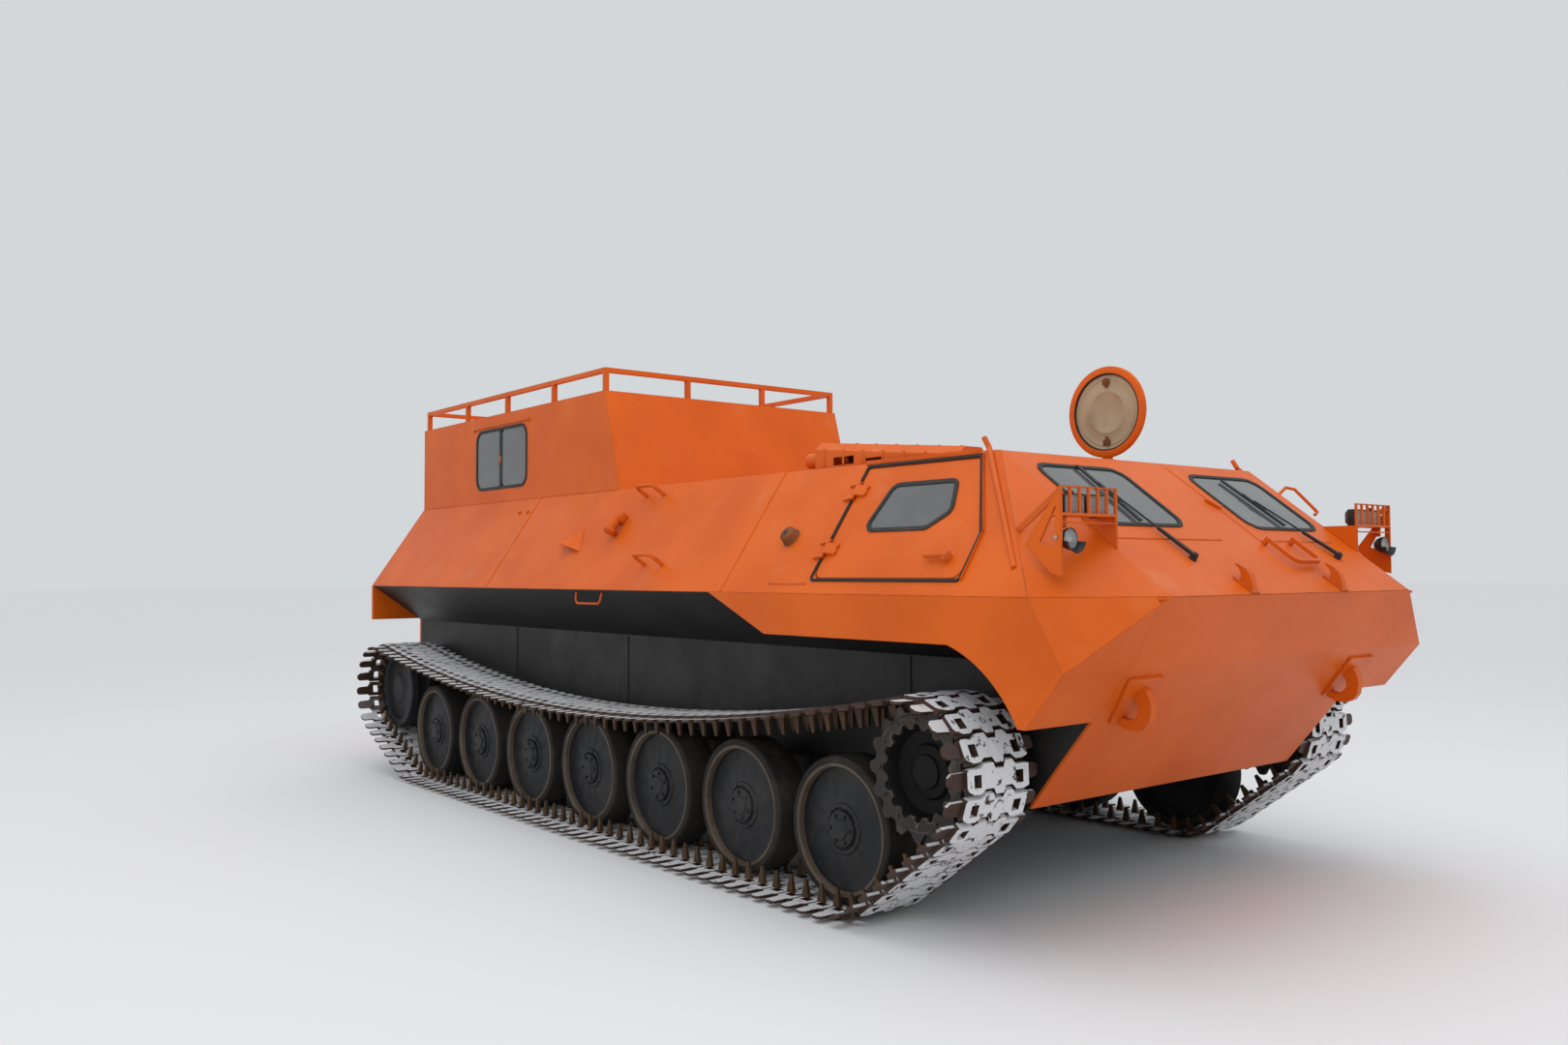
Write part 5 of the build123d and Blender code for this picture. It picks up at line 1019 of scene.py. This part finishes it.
def makeFittings():
    scoop = makeScoop()
    spot = slopeSpot(*fitting["filler"])
    down = Matrix.Rotation(-math.pi / 2, 4, "X")
    cap = moved(turned(fitting["cap"], 28), at(spot, down))
    foot = slab(fitting["footSize"], slopeSpot(*fitting["fillerFoot"]), 0.006)
    across, up = fitting["lugPlace"]
    lugs = [slab(fitting["lugSize"], (spot.x + side * across, spot.y + up, spot.z), 0.003) for side in (-1, 1)]
    parts = coatAll([scoop, cap, foot, *lugs], "orangePaint")
    breather = at(slopeSpot(*fitting["breather"]))
    parts.append(coat(moved(turned(fitting["valve"], 28), breather), "rustIron"))
    # the black disc on the valve is painted shade for the opening's inside
    parts.append(coat(moved(turned(fitting["paintedMouthShade"], 16), breather), "hullBlack"))
    side = placed(joinParts(parts), slopeFrame)
    x, y = fitting["ventPlace"]
    vent = moved(turned(fitting["vent"], 32), at((x, y, hull["roofZ"])))
    spots = [slopeFrame @ slopeSpot(*place) for place in fitting["studs"]]
    studs = boltHeads(spots, *fitting["stud"], (0, -slopeRise, slopeRun))
    circle, level, angles = fitting["ventBolts"]
    bolts = [(x + away, y + along, height) for away, along, height in ringPlaces(circle, level, angles)]
    tops = coatAll([vent, studs, boltHeads(bolts, *fitting["ventBolt"])], "orangePaint")
    finishPiece(joinParts(bothSides(side) + tops), "side_fittings", "hull", ["fittings"])


makeHatchCover()
makeFittings()
print("hatch and fittings made")

lamp = {
    "size": (0.060, 0.130, 0.084), "boxYs": (1.068, 1.220), "boxX": 3.3555, "boxZ": 1.808,
    "body": 0.55, "nose": (-0.027, (1, 0.62, 0.6)), "rim": 0.007, "bowlDeep": (-0.024, (1, 0.7, 0.6)),
    "bulb": ((0.0, 0.0), (0.005, -0.002), (0.007, -0.008), (0.005, -0.016)),
    "foot": (0.022, 0.036, 0.012), "footX": station(0.300), "footZs": (1.7615, 1.8555),
    "round": (station(0.249), 1.276, 1.671), "steps": 28, "visorLow": 0.012, "visorWall": 0.002,
    "looks": {"bowl": "darkPlastic", "mirror": "plainSteel", "lens": "lampGlass"},
    "bowl": ((0.0, -0.055), (0.018, -0.053), (0.032, -0.040), (0.040, -0.020), (0.043, -0.006), (0.043, -0.001),
             (0.0395, -0.0015)),
    "mirror": ((0.0395, -0.0015), (0.036, -0.008), (0.030, -0.018), (0.018, -0.027), (0.006, -0.031), (0.0, -0.031)),
    "visor": ((0.044, -0.010), (0.046, 0.004), (0.051, 0.018), (0.058, 0.028)),  # low in front of the round lamp
    "lens": ((0.0385, -0.004), (0.030, -0.002), (0.016, -0.0008), (0.0, -0.0005)),
    "bolt": (station(0.272), 1.3365, 1.676), "boltHead": (0.009, 0.006),
    "hanger": ((0.014, 0.022, 0.046), station(0.283), 1.737),
}
wiper = {  # places on the deck: up the plate's run, left
    "sets": (((0.198, -0.540), (0.410, -0.606), (0.760, -0.587)), ((0.208, 0.694), (0.411, 0.572), (0.731, 0.539))),
    "lowerShare": 0.42, "rodShare": 0.96, "yoke": 0.07, "rod": 0.0048,
    "nut": ((0.018, 0.0), (0.0175, 0.008), (0.0155, 0.010), (0.0155, 0.026), (0.0125, 0.030), (0.008, 0.033),
            (0.0, 0.034)),
    # widths, low, high, softening
    "arm": ((0.024, 0.016), 0.012, 0.027, 0.003), "yokeBar": ((0.016, 0.016), 0.014, 0.0205, 0.001),
    "blade": (((0.026, 0.024), 0.010, 0.0155, 0.001), ((0.006, 0.006), 0.0045, 0.011, 0)),
}


def makeBoxLamp():
    long, wide, high = lamp["size"]
    body = block((long * lamp["body"], wide, high))
    for way, (move, share) in ((-1, lamp["nose"]), (1, lamp["bowlDeep"])):
        pick(body, lambda face: face.normal.x * way > 0.9)
        if way > 0:
            bpy.ops.mesh.inset(thickness=lamp["rim"])
        extrude((move, 0, 0), share)
        closeEdit()
    coat(body, "darkPlastic")
    paintFaces(body, "plainSteel", lambda face: face.center.x > -0.012 and face.normal.x > 0.15
               and abs(face.center.y) < wide * 0.45 and abs(face.center.z) < high * 0.44)
    roundEdges(body, 0.003, 2, 50)
    front = long * lamp["body"] / 2
    lens = coat(slab((0.004, wide - 0.018, high - 0.018), (front - 0.004, 0, 0), 0.0015), "lampGlass")
    bulb = coat(moved(turned(lamp["bulb"], 12), at((front - 0.01, 0, 0), faceAhead)), "plainSteel")
    return joinParts([body, lens, bulb])


def makeLamps():
    first = makeBoxLamp()
    x, y, z = lamp["round"]
    size, hangerX, hangerZ = lamp["hanger"]
    parts = []
    for side in (-1, 1):
        for boxY, footZ in zip(lamp["boxYs"], lamp["footZs"]):
            parts.append(copyOf(first, at((lamp["boxX"], side * boxY, lamp["boxZ"]))))
            parts.append(coat(slab(lamp["foot"], (lamp["footX"], side * boxY, footZ), 0.003), "hullBlack"))
        ahead = at((x, side * y, z), faceAhead)
        parts += [moved(part, ahead) for part in ringParts(lamp)]
        visor = turned(lamp["visor"], lamp["steps"])
        dropFaces(visor, lambda face: face.calc_center_median().x < lamp["visorLow"])
        modify(visor, "SOLIDIFY", thickness=lamp["visorWall"])
        parts.append(coat(moved(visor, ahead), "darkPlastic"))
        boltX, boltY, boltZ = lamp["bolt"]
        parts.append(coat(boltHeads([(boltX, side * boltY, boltZ)], *lamp["boltHead"], (0, side, 0)), "plainSteel"))
        parts.append(coat(slab(size, (hangerX, side * y, hangerZ), 0.003), "orangePaint"))
    forget(first)
    finishPiece(joinParts(parts), "lamp_set", "hull", ["lamps"])


def makeWipers():
    parts = []
    for places in wiper["sets"]:
        start, low, high = [Vector((y, run * 1.25088)) for run, y in places]
        middle = (low + high) / 2
        elbow = start.lerp(middle, wiper["lowerShare"])
        near = start.lerp(middle, wiper["rodShare"])
        along = (high - low).normalized() * wiper["yoke"]
        parts.append(moved(turned(wiper["nut"], 16), at((*start, 0))))
        parts.append(barBetween(start, elbow, *wiper["arm"]))
        parts.append(rod([(*elbow, 0.020), (*near, 0.022), (*middle, 0.021)], wiper["rod"]))
        parts.append(barBetween(middle - along, middle + along, *wiper["yokeBar"]))
        parts += [barBetween(low, high, *bar) for bar in wiper["blade"]]
    joined = coat(placed(joinParts(parts), deckFrame), "darkPlastic")
    finishPiece(joined, "wiper_set", "hull", ["wipers"])


makeLamps()
makeWipers()
print("lamps and wipers made")

bead = 0.0045
seam = {
    "slope": (((-2.350, 0.004), (-2.350, 0.770)), ((-5.102, 0.004), (-5.127, 0.770)),
              ((-1.700, 0.055), (-1.98, 0.055))),
    # along the roof's edge, the corner of bow and fender, and the third loop under the waist
    "side": (
        ([(-3.53, -1.0, 2.0795), (-0.44, -1.0, 2.0795)], bead),
        ([(3.595, -1.040, 1.4365), (3.640, -1.012, 1.4365)], 0.007),
        ([(-0.224, -1.420, 1.428), (-0.220, -1.428, 1.385), (-0.200, -1.430, 1.362), (0.053, -1.430, 1.362),
          (0.073, -1.428, 1.385), (0.077, -1.420, 1.428)], 0.0075),
    ),
    "ribXs": (-1.794, -0.263, 2.258), "ribZs": (0.62, 1.148), "ribY": -1.031, "rib": 0.006,
    "deck": (
        ([(2.831, 0.189, 2.055), (3.336, 0.192, 1.676)], bead),
        ([(3.331, -0.95, 1.680), (3.331, -0.13, 1.680)], bead),
        ([(3.331, 0.19, 1.680), (3.331, 0.85, 1.680)], bead),
        ([(-0.4191, -0.99, 2.0795), (-0.4191, 0.99, 2.0795)], bead),
    ),
    "lug": ((0.034, 0.085, 0.016), (0, 0, 0.007), 0.004), "lugPlace": (0.186, 0.692, 0), "lugTurn": 0.5,
    "handLoop": ([(2.945, 1.045, 1.945), (2.955, 1.10, 1.985), (2.985, 1.135, 1.975), (3.050, 1.185, 1.885),
                  (3.078, 1.195, 1.850), (3.085, 1.155, 1.835)], 0.009),
}
guard = {"backs": (1.124, 2.150), "heights": (0.015, 0.115), "y": -0.870, "half": 0.0955, "bands": 7,
         "band": (0.016, 0.0025), "boltRise": 0.026, "bolt": (0.008, 0.008, (0.1, 0, 1))}
cabinTrim = (
    ((0.012, 0.011, 0.026), (-2.595, -1.0055, 2.655), 0.002),
    ((0.012, 0.011, 0.026), (-1.675, -1.0055, 2.655), 0.002),
    ((0.020, 0.010, 0.050), (-2.135, -1.003, 2.40), 0.003),
)
tail = {  # window: middle, size, corner; handle: away from the middle, heights, depths, radius
    "window": (0.298, 2.150, 0.340, 0.360), "corner": 0.060, "band": 0.018, "bandZs": (0.0295, 0.034),
    "handle": (0.06, (1.56, 1.69), (0.030, 0.046), 0.006),
    "rib": (0.44, 0.016, 0.006), "ribX": 0.298, "ribYs": (1.22, 1.78), "ribZ": 0.032,
    # tail lamps: size, place, softening, finish
    "lights": (((0.15, 0.075, 0.02), (0.86, 1.30, 0.040), 0.006, "darkPlastic"),
               ((0.068, 0.058, 0.016), (0.895, 1.30, 0.049), 0.005, "tailRed"),
               ((0.058, 0.058, 0.014), (0.825, 1.30, 0.049), 0.005, "rustIron")),
}


def makeSeams():
    beads = [placed(rod([(*spot, 0.0) for spot in line], bead), slopeFrame) for line in seam["slope"]]
    side = joinParts(coatAll(beads + [rod(*line) for line in seam["side"]], "orangePaint"))
    deck = [rod(*line) for line in seam["deck"]]
    lugTurn = Matrix.Rotation(seam["lugTurn"], 4, "Z")
    deck += [placed(slab(*seam["lug"]), deckFrame @ at(seam["lugPlace"], lugTurn)), rod(*seam["handLoop"])]
    finishPiece(joinParts([*bothSides(side), joinParts(coatAll(deck, "orangePaint"))]), "weld_seams", "hull")
    ribs = [rod([(x, seam["ribY"], z) for z in seam["ribZs"]], seam["rib"]) for x in seam["ribXs"]]
    ribs = joinParts(coatAll(ribs, "hullBlack"))
    finishPiece(joinParts(bothSides(ribs)), "hull_ribs", "hull")


def makeGuardTrim():
    (first, last), (low, high) = guard["backs"], guard["heights"]
    parts, bolts = [], []
    for number in range(guard["bands"]):
        share = (number + 0.5) / guard["bands"]
        x, rise = station(first + (last - first) * share), low + (high - low) * share
        for side in (-1, 1):
            place = (x, guard["y"] + side * guard["half"], hull["roofZ"] + rise / 2)
            parts.append(slab((*guard["band"], rise), place, 0.001))
        bolts.append((x, guard["y"], hull["roofZ"] + rise + guard["boltRise"]))
    parts.append(boltHeads(bolts, *guard["bolt"]))
    finishPiece(coat(joinParts(parts), "orangePaint"), "guard_trim", "hull")


def makeCabinTrim():
    trim = coat(joinParts([slab(*row) for row in cabinTrim]), "orangePaint")
    finishPiece(joinParts(bothSides(trim)), "cabin_trim", "hull")


def makeTailTrim():
    away, (low, high), (near, far), radius = tail["handle"]
    for side, body, mark in ((1, "rear_leaf_right", "r"), (-1, "rear_leaf_left", "l")):
        corners = [(side * x, y) for x, y in rectangle(*tail["window"])]
        inner = roundedOutline(shiftedCorners(corners, tail["band"]), tail["corner"] * 0.8)
        seal = coat(ringPlate(roundedOutline(corners, tail["corner"]), inner, *tail["bandZs"]), "sealRubber")
        handle = rod([(side * away, y, z) for y, z in ((low, near), (low, far), (high, far), (high, near))], radius)
        ribs = [slab(tail["rib"], (side * tail["ribX"], y, tail["ribZ"]), 0.0025) for y in tail["ribYs"]]
        part = placed(joinParts([seal, *coatAll([handle, *ribs], "orangePaint")]), tailFrame)
        finishPiece(part, "leaf_trim_" + mark, body)
    lights = []
    for side in (-1, 1):
        for size, (x, y, z), soften, name in tail["lights"]:
            lights.append(coat(slab(size, (side * x, y, z), soften), name))
    finishPiece(placed(joinParts(lights), tailFrame), "tail_lamps", "hull")


makeSeams()
makeGuardTrim()
makeCabinTrim()
makeTailTrim()
print("seams and trim made")

seat = {
    "ys": (-0.520, 0.520), "swell": 0.02, "pressure": 4.0, "frames": 20, "margin": 0.02, "welt": 0.003,
    "channelDeep": 0.010, "channelWide": 0.007,
    # size, mesh cell, sewn channels
    "cushion": ((0.400, 0.440, 0.092), 0.014, (-0.09, 0.0, 0.09)),
    "rest": ((0.450, 0.430, 0.080), 0.014, (-0.11, 0.0, 0.11)),
    "bench": ((0.775, 0.430, 0.058), 0.020, (-0.19, 0.0, 0.19)),
    "cushionPlace": (station(1.695), 1.358), "restPlace": (station(2.002), 1.645), "restLean": 12.6,
    "pan": ((0.42, 0.44, 0.012), station(1.69), 1.306), "post": ((0.300, 0.300, 0.772), station(1.74), 0.901),
    "arm": ((station(1.76), 0.18, 1.312), (station(2.015), 0.18, 1.325), (station(2.06), 0.17, 1.45)),
    "benchBacks": (4.864, 5.647, 6.430), "benchY": 0.793, "benchZ": 1.135,
    "board": ((2.350, 0.440, 0.012), station(5.647), 1.098), "legBacks": (4.664, 5.647, 6.630),
    "leg": ((0.62, 0.516), (0.62, 1.085), (0.965, 1.085), (0.965, 0.516)),
}
controls = {
    "dials": ((0.70, 0.040), (0.60, 0.028), (0.50, 0.028), (0.40, 0.028)), "dialX": station(1.0025), "dialZ": 1.585,
    "levers": (0.36, 0.66), "lever": ((station(1.20), 0.53), (station(1.26), 0.95), (station(1.42), 1.33)),
    "grip": ((station(1.415), 1.31), (station(1.425), 1.44)),
    "pedals": (0.44, 0.55), "pedal": ((0.012, 0.07, 0.10), station(0.98), 0.62),
    "stem": ((station(0.98), 0.60), (station(1.02), 0.516)),
}


def blowUp(form):  # cloth pressure, held to a small swell
    start = [vert.co.copy() for vert in form.data.vertices]
    cloth = form.modifiers.new("swell", "CLOTH")
    cloth.settings.use_pressure = True
    cloth.settings.uniform_pressure_force = seat["pressure"]
    cloth.settings.effector_weights.gravity = 0
    cloth.point_cache.frame_start, cloth.point_cache.frame_end = 1, seat["frames"]
    for number in range(seat["frames"]):
        bpy.context.scene.frame_set(number + 1)
    activate(form)
    bpy.ops.object.modifier_apply(modifier=cloth.name)
    for vert, place in zip(form.data.vertices, start):
        move = vert.co - place
        if move.length > seat["swell"]:
            vert.co = place + move.normalized() * seat["swell"]
    bpy.context.scene.frame_set(1)


def cushionForm(size, cell, channels):  # a padded form, blown up as cloth
    form = block([length - seat["margin"] for length in size])
    roundEdges(form, min(size) * 0.25, 3)
    modify(form, "REMESH", mode="VOXEL", voxel_size=cell)
    blowUp(form)
    for vert in form.data.vertices:  # sewn channels and the box the CAD seat fills
        if vert.co.z > 0:
            for line in channels:
                away = (vert.co.x - line) / seat["channelWide"]
                vert.co.z -= seat["channelDeep"] * math.exp(-away ** 2)
        for axis in range(3):
            vert.co[axis] = max(-size[axis] / 2, min(size[axis] / 2, vert.co[axis]))
    modify(form, "SUBSURF", levels=1, render_levels=1)
    return coat(form, "seatLeather")


def piping(size):  # welt around a cushion
    outline = roundedOutline(rectangle(0, 0, size[0] - 0.016, size[1] - 0.016), 0.03, 3)
    return coat(rod([(*point, 0.0) for point in outline], seat["welt"], 6, True), "sealRubber")


def makeSeats():
    cushion, rest, bench = [cushionForm(*seat[key]) for key in ("cushion", "rest", "bench")]
    lean = Matrix.Rotation(math.radians(-90 - seat["restLean"]), 4, "Y")
    seats, frames = [], []
    for y in seat["ys"]:
        for form, key, turn in ((cushion, "cushion", None), (rest, "rest", lean)):
            x, z = seat[key + "Place"]
            place = at((x, y, z), turn)
            seats += [copyOf(form, place), moved(piping(seat[key][0]), place)]
        (panSize, panX, panZ), (postSize, postX, postZ) = seat["pan"], seat["post"]
        frames.append(slab(panSize, (panX, y, panZ), 0.005))
        post = slab(postSize, (postX, y, postZ), 0.012)
        pick(post, lambda face: abs(face.normal.z) < 0.1 and face.calc_area() > 0.05)
        bpy.ops.mesh.inset(thickness=0.03, depth=-0.006, use_individual=True)
        leaveEdit()
        arms = [rod([(x, y + side * away, z) for x, away, z in seat["arm"]], 0.009) for side in (-1, 1)]
        frames += [post, *arms]
    benches, legs = [], []
    boardSize, boardX, boardZ = seat["board"]
    for side in (-1, 1):
        for back in seat["benchBacks"]:
            benches.append(copyOf(bench, at((station(back), side * seat["benchY"], seat["benchZ"]))))
        legs.append(slab(boardSize, (boardX, side * seat["benchY"], boardZ), 0.003))
        for back in seat["legBacks"]:
            legs.append(rod([(station(back), side * y, z) for y, z in seat["leg"]], 0.016))
    forget(cushion, rest, bench)
    padded = finishPiece(joinParts(seats), "seat_pads", "hull", ["cab_seats"])
    finishPiece(coat(joinParts(frames), "hullBlack"), "seat_frames", "hull", ["cab_seats"])
    padded = finishPiece(joinParts(benches), "bench_pads", "hull", ["cabin_benches"])
    finishPiece(coat(joinParts(legs), "innerPaint"), "bench_frames", "hull", ["cabin_benches"])


def makeControls():
    tilt = Matrix.Rotation(math.atan2(-0.05, 0.095), 4, "Y")
    parts = []
    for y, radius in controls["dials"]:
        case = ((radius + 0.004, 0.0), (radius + 0.004, 0.004), (radius, 0.006), (radius - 0.003, 0.0045))
        card = ((radius - 0.003, 0.0045), (0.004, 0.004), (0.0, 0.0055))
        for profile, name in ((case, "plainSteel"), (card, "darkPlastic")):
            spot = at((controls["dialX"], y, controls["dialZ"]), tilt)
            parts.append(coat(moved(turned(profile, 24), spot), name))
    for y in controls["levers"]:
        parts.append(coat(rod([(x, y, z) for x, z in controls["lever"]], 0.011), "plainSteel"))
        parts.append(coat(rod([(x, y, z) for x, z in controls["grip"]], 0.018, 12), "sealRubber"))
    size, pedalX, pedalZ = controls["pedal"]
    for y in controls["pedals"]:
        parts.append(coat(slab(size, (pedalX, y, pedalZ), 0.004, Matrix.Rotation(0.6, 4, "Y")), "sealRubber"))
        parts.append(coat(rod([(x, y, z) for x, z in controls["stem"]], 0.008), "hullBlack"))
    finishPiece(joinParts(parts), "cab_levers", "hull")


makeSeats()
makeControls()
print("seats and controls made")

studio = {
    "floorColour": (0.72, 0.725, 0.74), "sky": ((0.97, 0.985, 1.0), 0.92), "backdrop": ((0.65, 0.68, 0.7), 1.0),
    # place, aim, size, power
    "lights": {"topSoft": ((1.5, -1.0, 8.5), (0, 0, 0.8), 9.0, 260.0),
               "frontSoft": ((9.5, -7.5, 5.0), (0, 0, 1.0), 6.0, 90.0)},
    "camera": (6.4287, -5.1249, 1.552), "turns": (38.662, 2.239, -0.264), "lens": 28.32,
}


def makeFloor():
    bpy.ops.mesh.primitive_plane_add(size=260, location=(0, 0, 0))
    floor = bpy.context.object
    floor.name = "studio_floor"
    finish["floorPale"], tree, shader = newMaterial("floorPale")
    feed(tree, shader, {"Base Color": (*studio["floorColour"], 1), "Roughness": 0.9})
    coat(floor, "floorPale")


def makeSky():  # the camera sees the backdrop, and so do mirrors and glass; everything else gets the sky
    world = bpy.data.worlds.new("softSky")
    bpy.context.scene.world = world
    world.use_nodes = True
    tree = world.node_tree
    tree.nodes.clear()
    path = weave(tree, "LightPath")
    seen = path["Is Camera Ray"]
    for extra in ("Is Glossy Ray", "Is Transmission Ray"):
        seen = calc(tree, "MAXIMUM", seen, path[extra])
    sky, backdrop = [weave(tree, "Background", {"Color": (*colour, 1), "Strength": strength})["Background"]
                     for colour, strength in (studio["sky"], studio["backdrop"])]
    mix = weave(tree, "MixShader", {"Fac": seen, 1: sky, 2: backdrop})["Shader"]
    weave(tree, "OutputWorld", {"Surface": mix})


def makeLights():
    for name, (place, target, size, power) in studio["lights"].items():
        data = bpy.data.lights.new(name, "AREA")
        data.shape, data.size, data.energy = "SQUARE", size, power
        light = bpy.data.objects.new(name, data)
        bpy.context.collection.objects.link(light)
        light.location = place
        light.rotation_mode = "QUATERNION"
        light.rotation_quaternion = (Vector(target) - Vector(place)).to_track_quat("-Z", "Y")


def makeCamera():
    turn, pitch, roll = [math.radians(angle) for angle in studio["turns"]]
    ahead = Vector((-math.cos(turn) * math.cos(pitch), math.sin(turn) * math.cos(pitch), math.sin(pitch)))
    right = ahead.cross(Vector((0, 0, 1))).normalized()
    basis = Matrix((right, right.cross(ahead), -ahead)).transposed().to_4x4()
    data = bpy.data.cameras.new("photoCamera")
    data.sensor_width, data.lens, data.clip_end = 36.0, studio["lens"], 400
    camera = bpy.data.objects.new("photoCamera", data)
    bpy.context.collection.objects.link(camera)
    camera.matrix_world = at(studio["camera"], basis @ Matrix.Rotation(roll, 4, "Z"))
    bpy.context.scene.camera = camera


makeFloor()
makeSky()
makeLights()
makeCamera()
bpy.context.scene.view_settings.view_transform = "Standard"
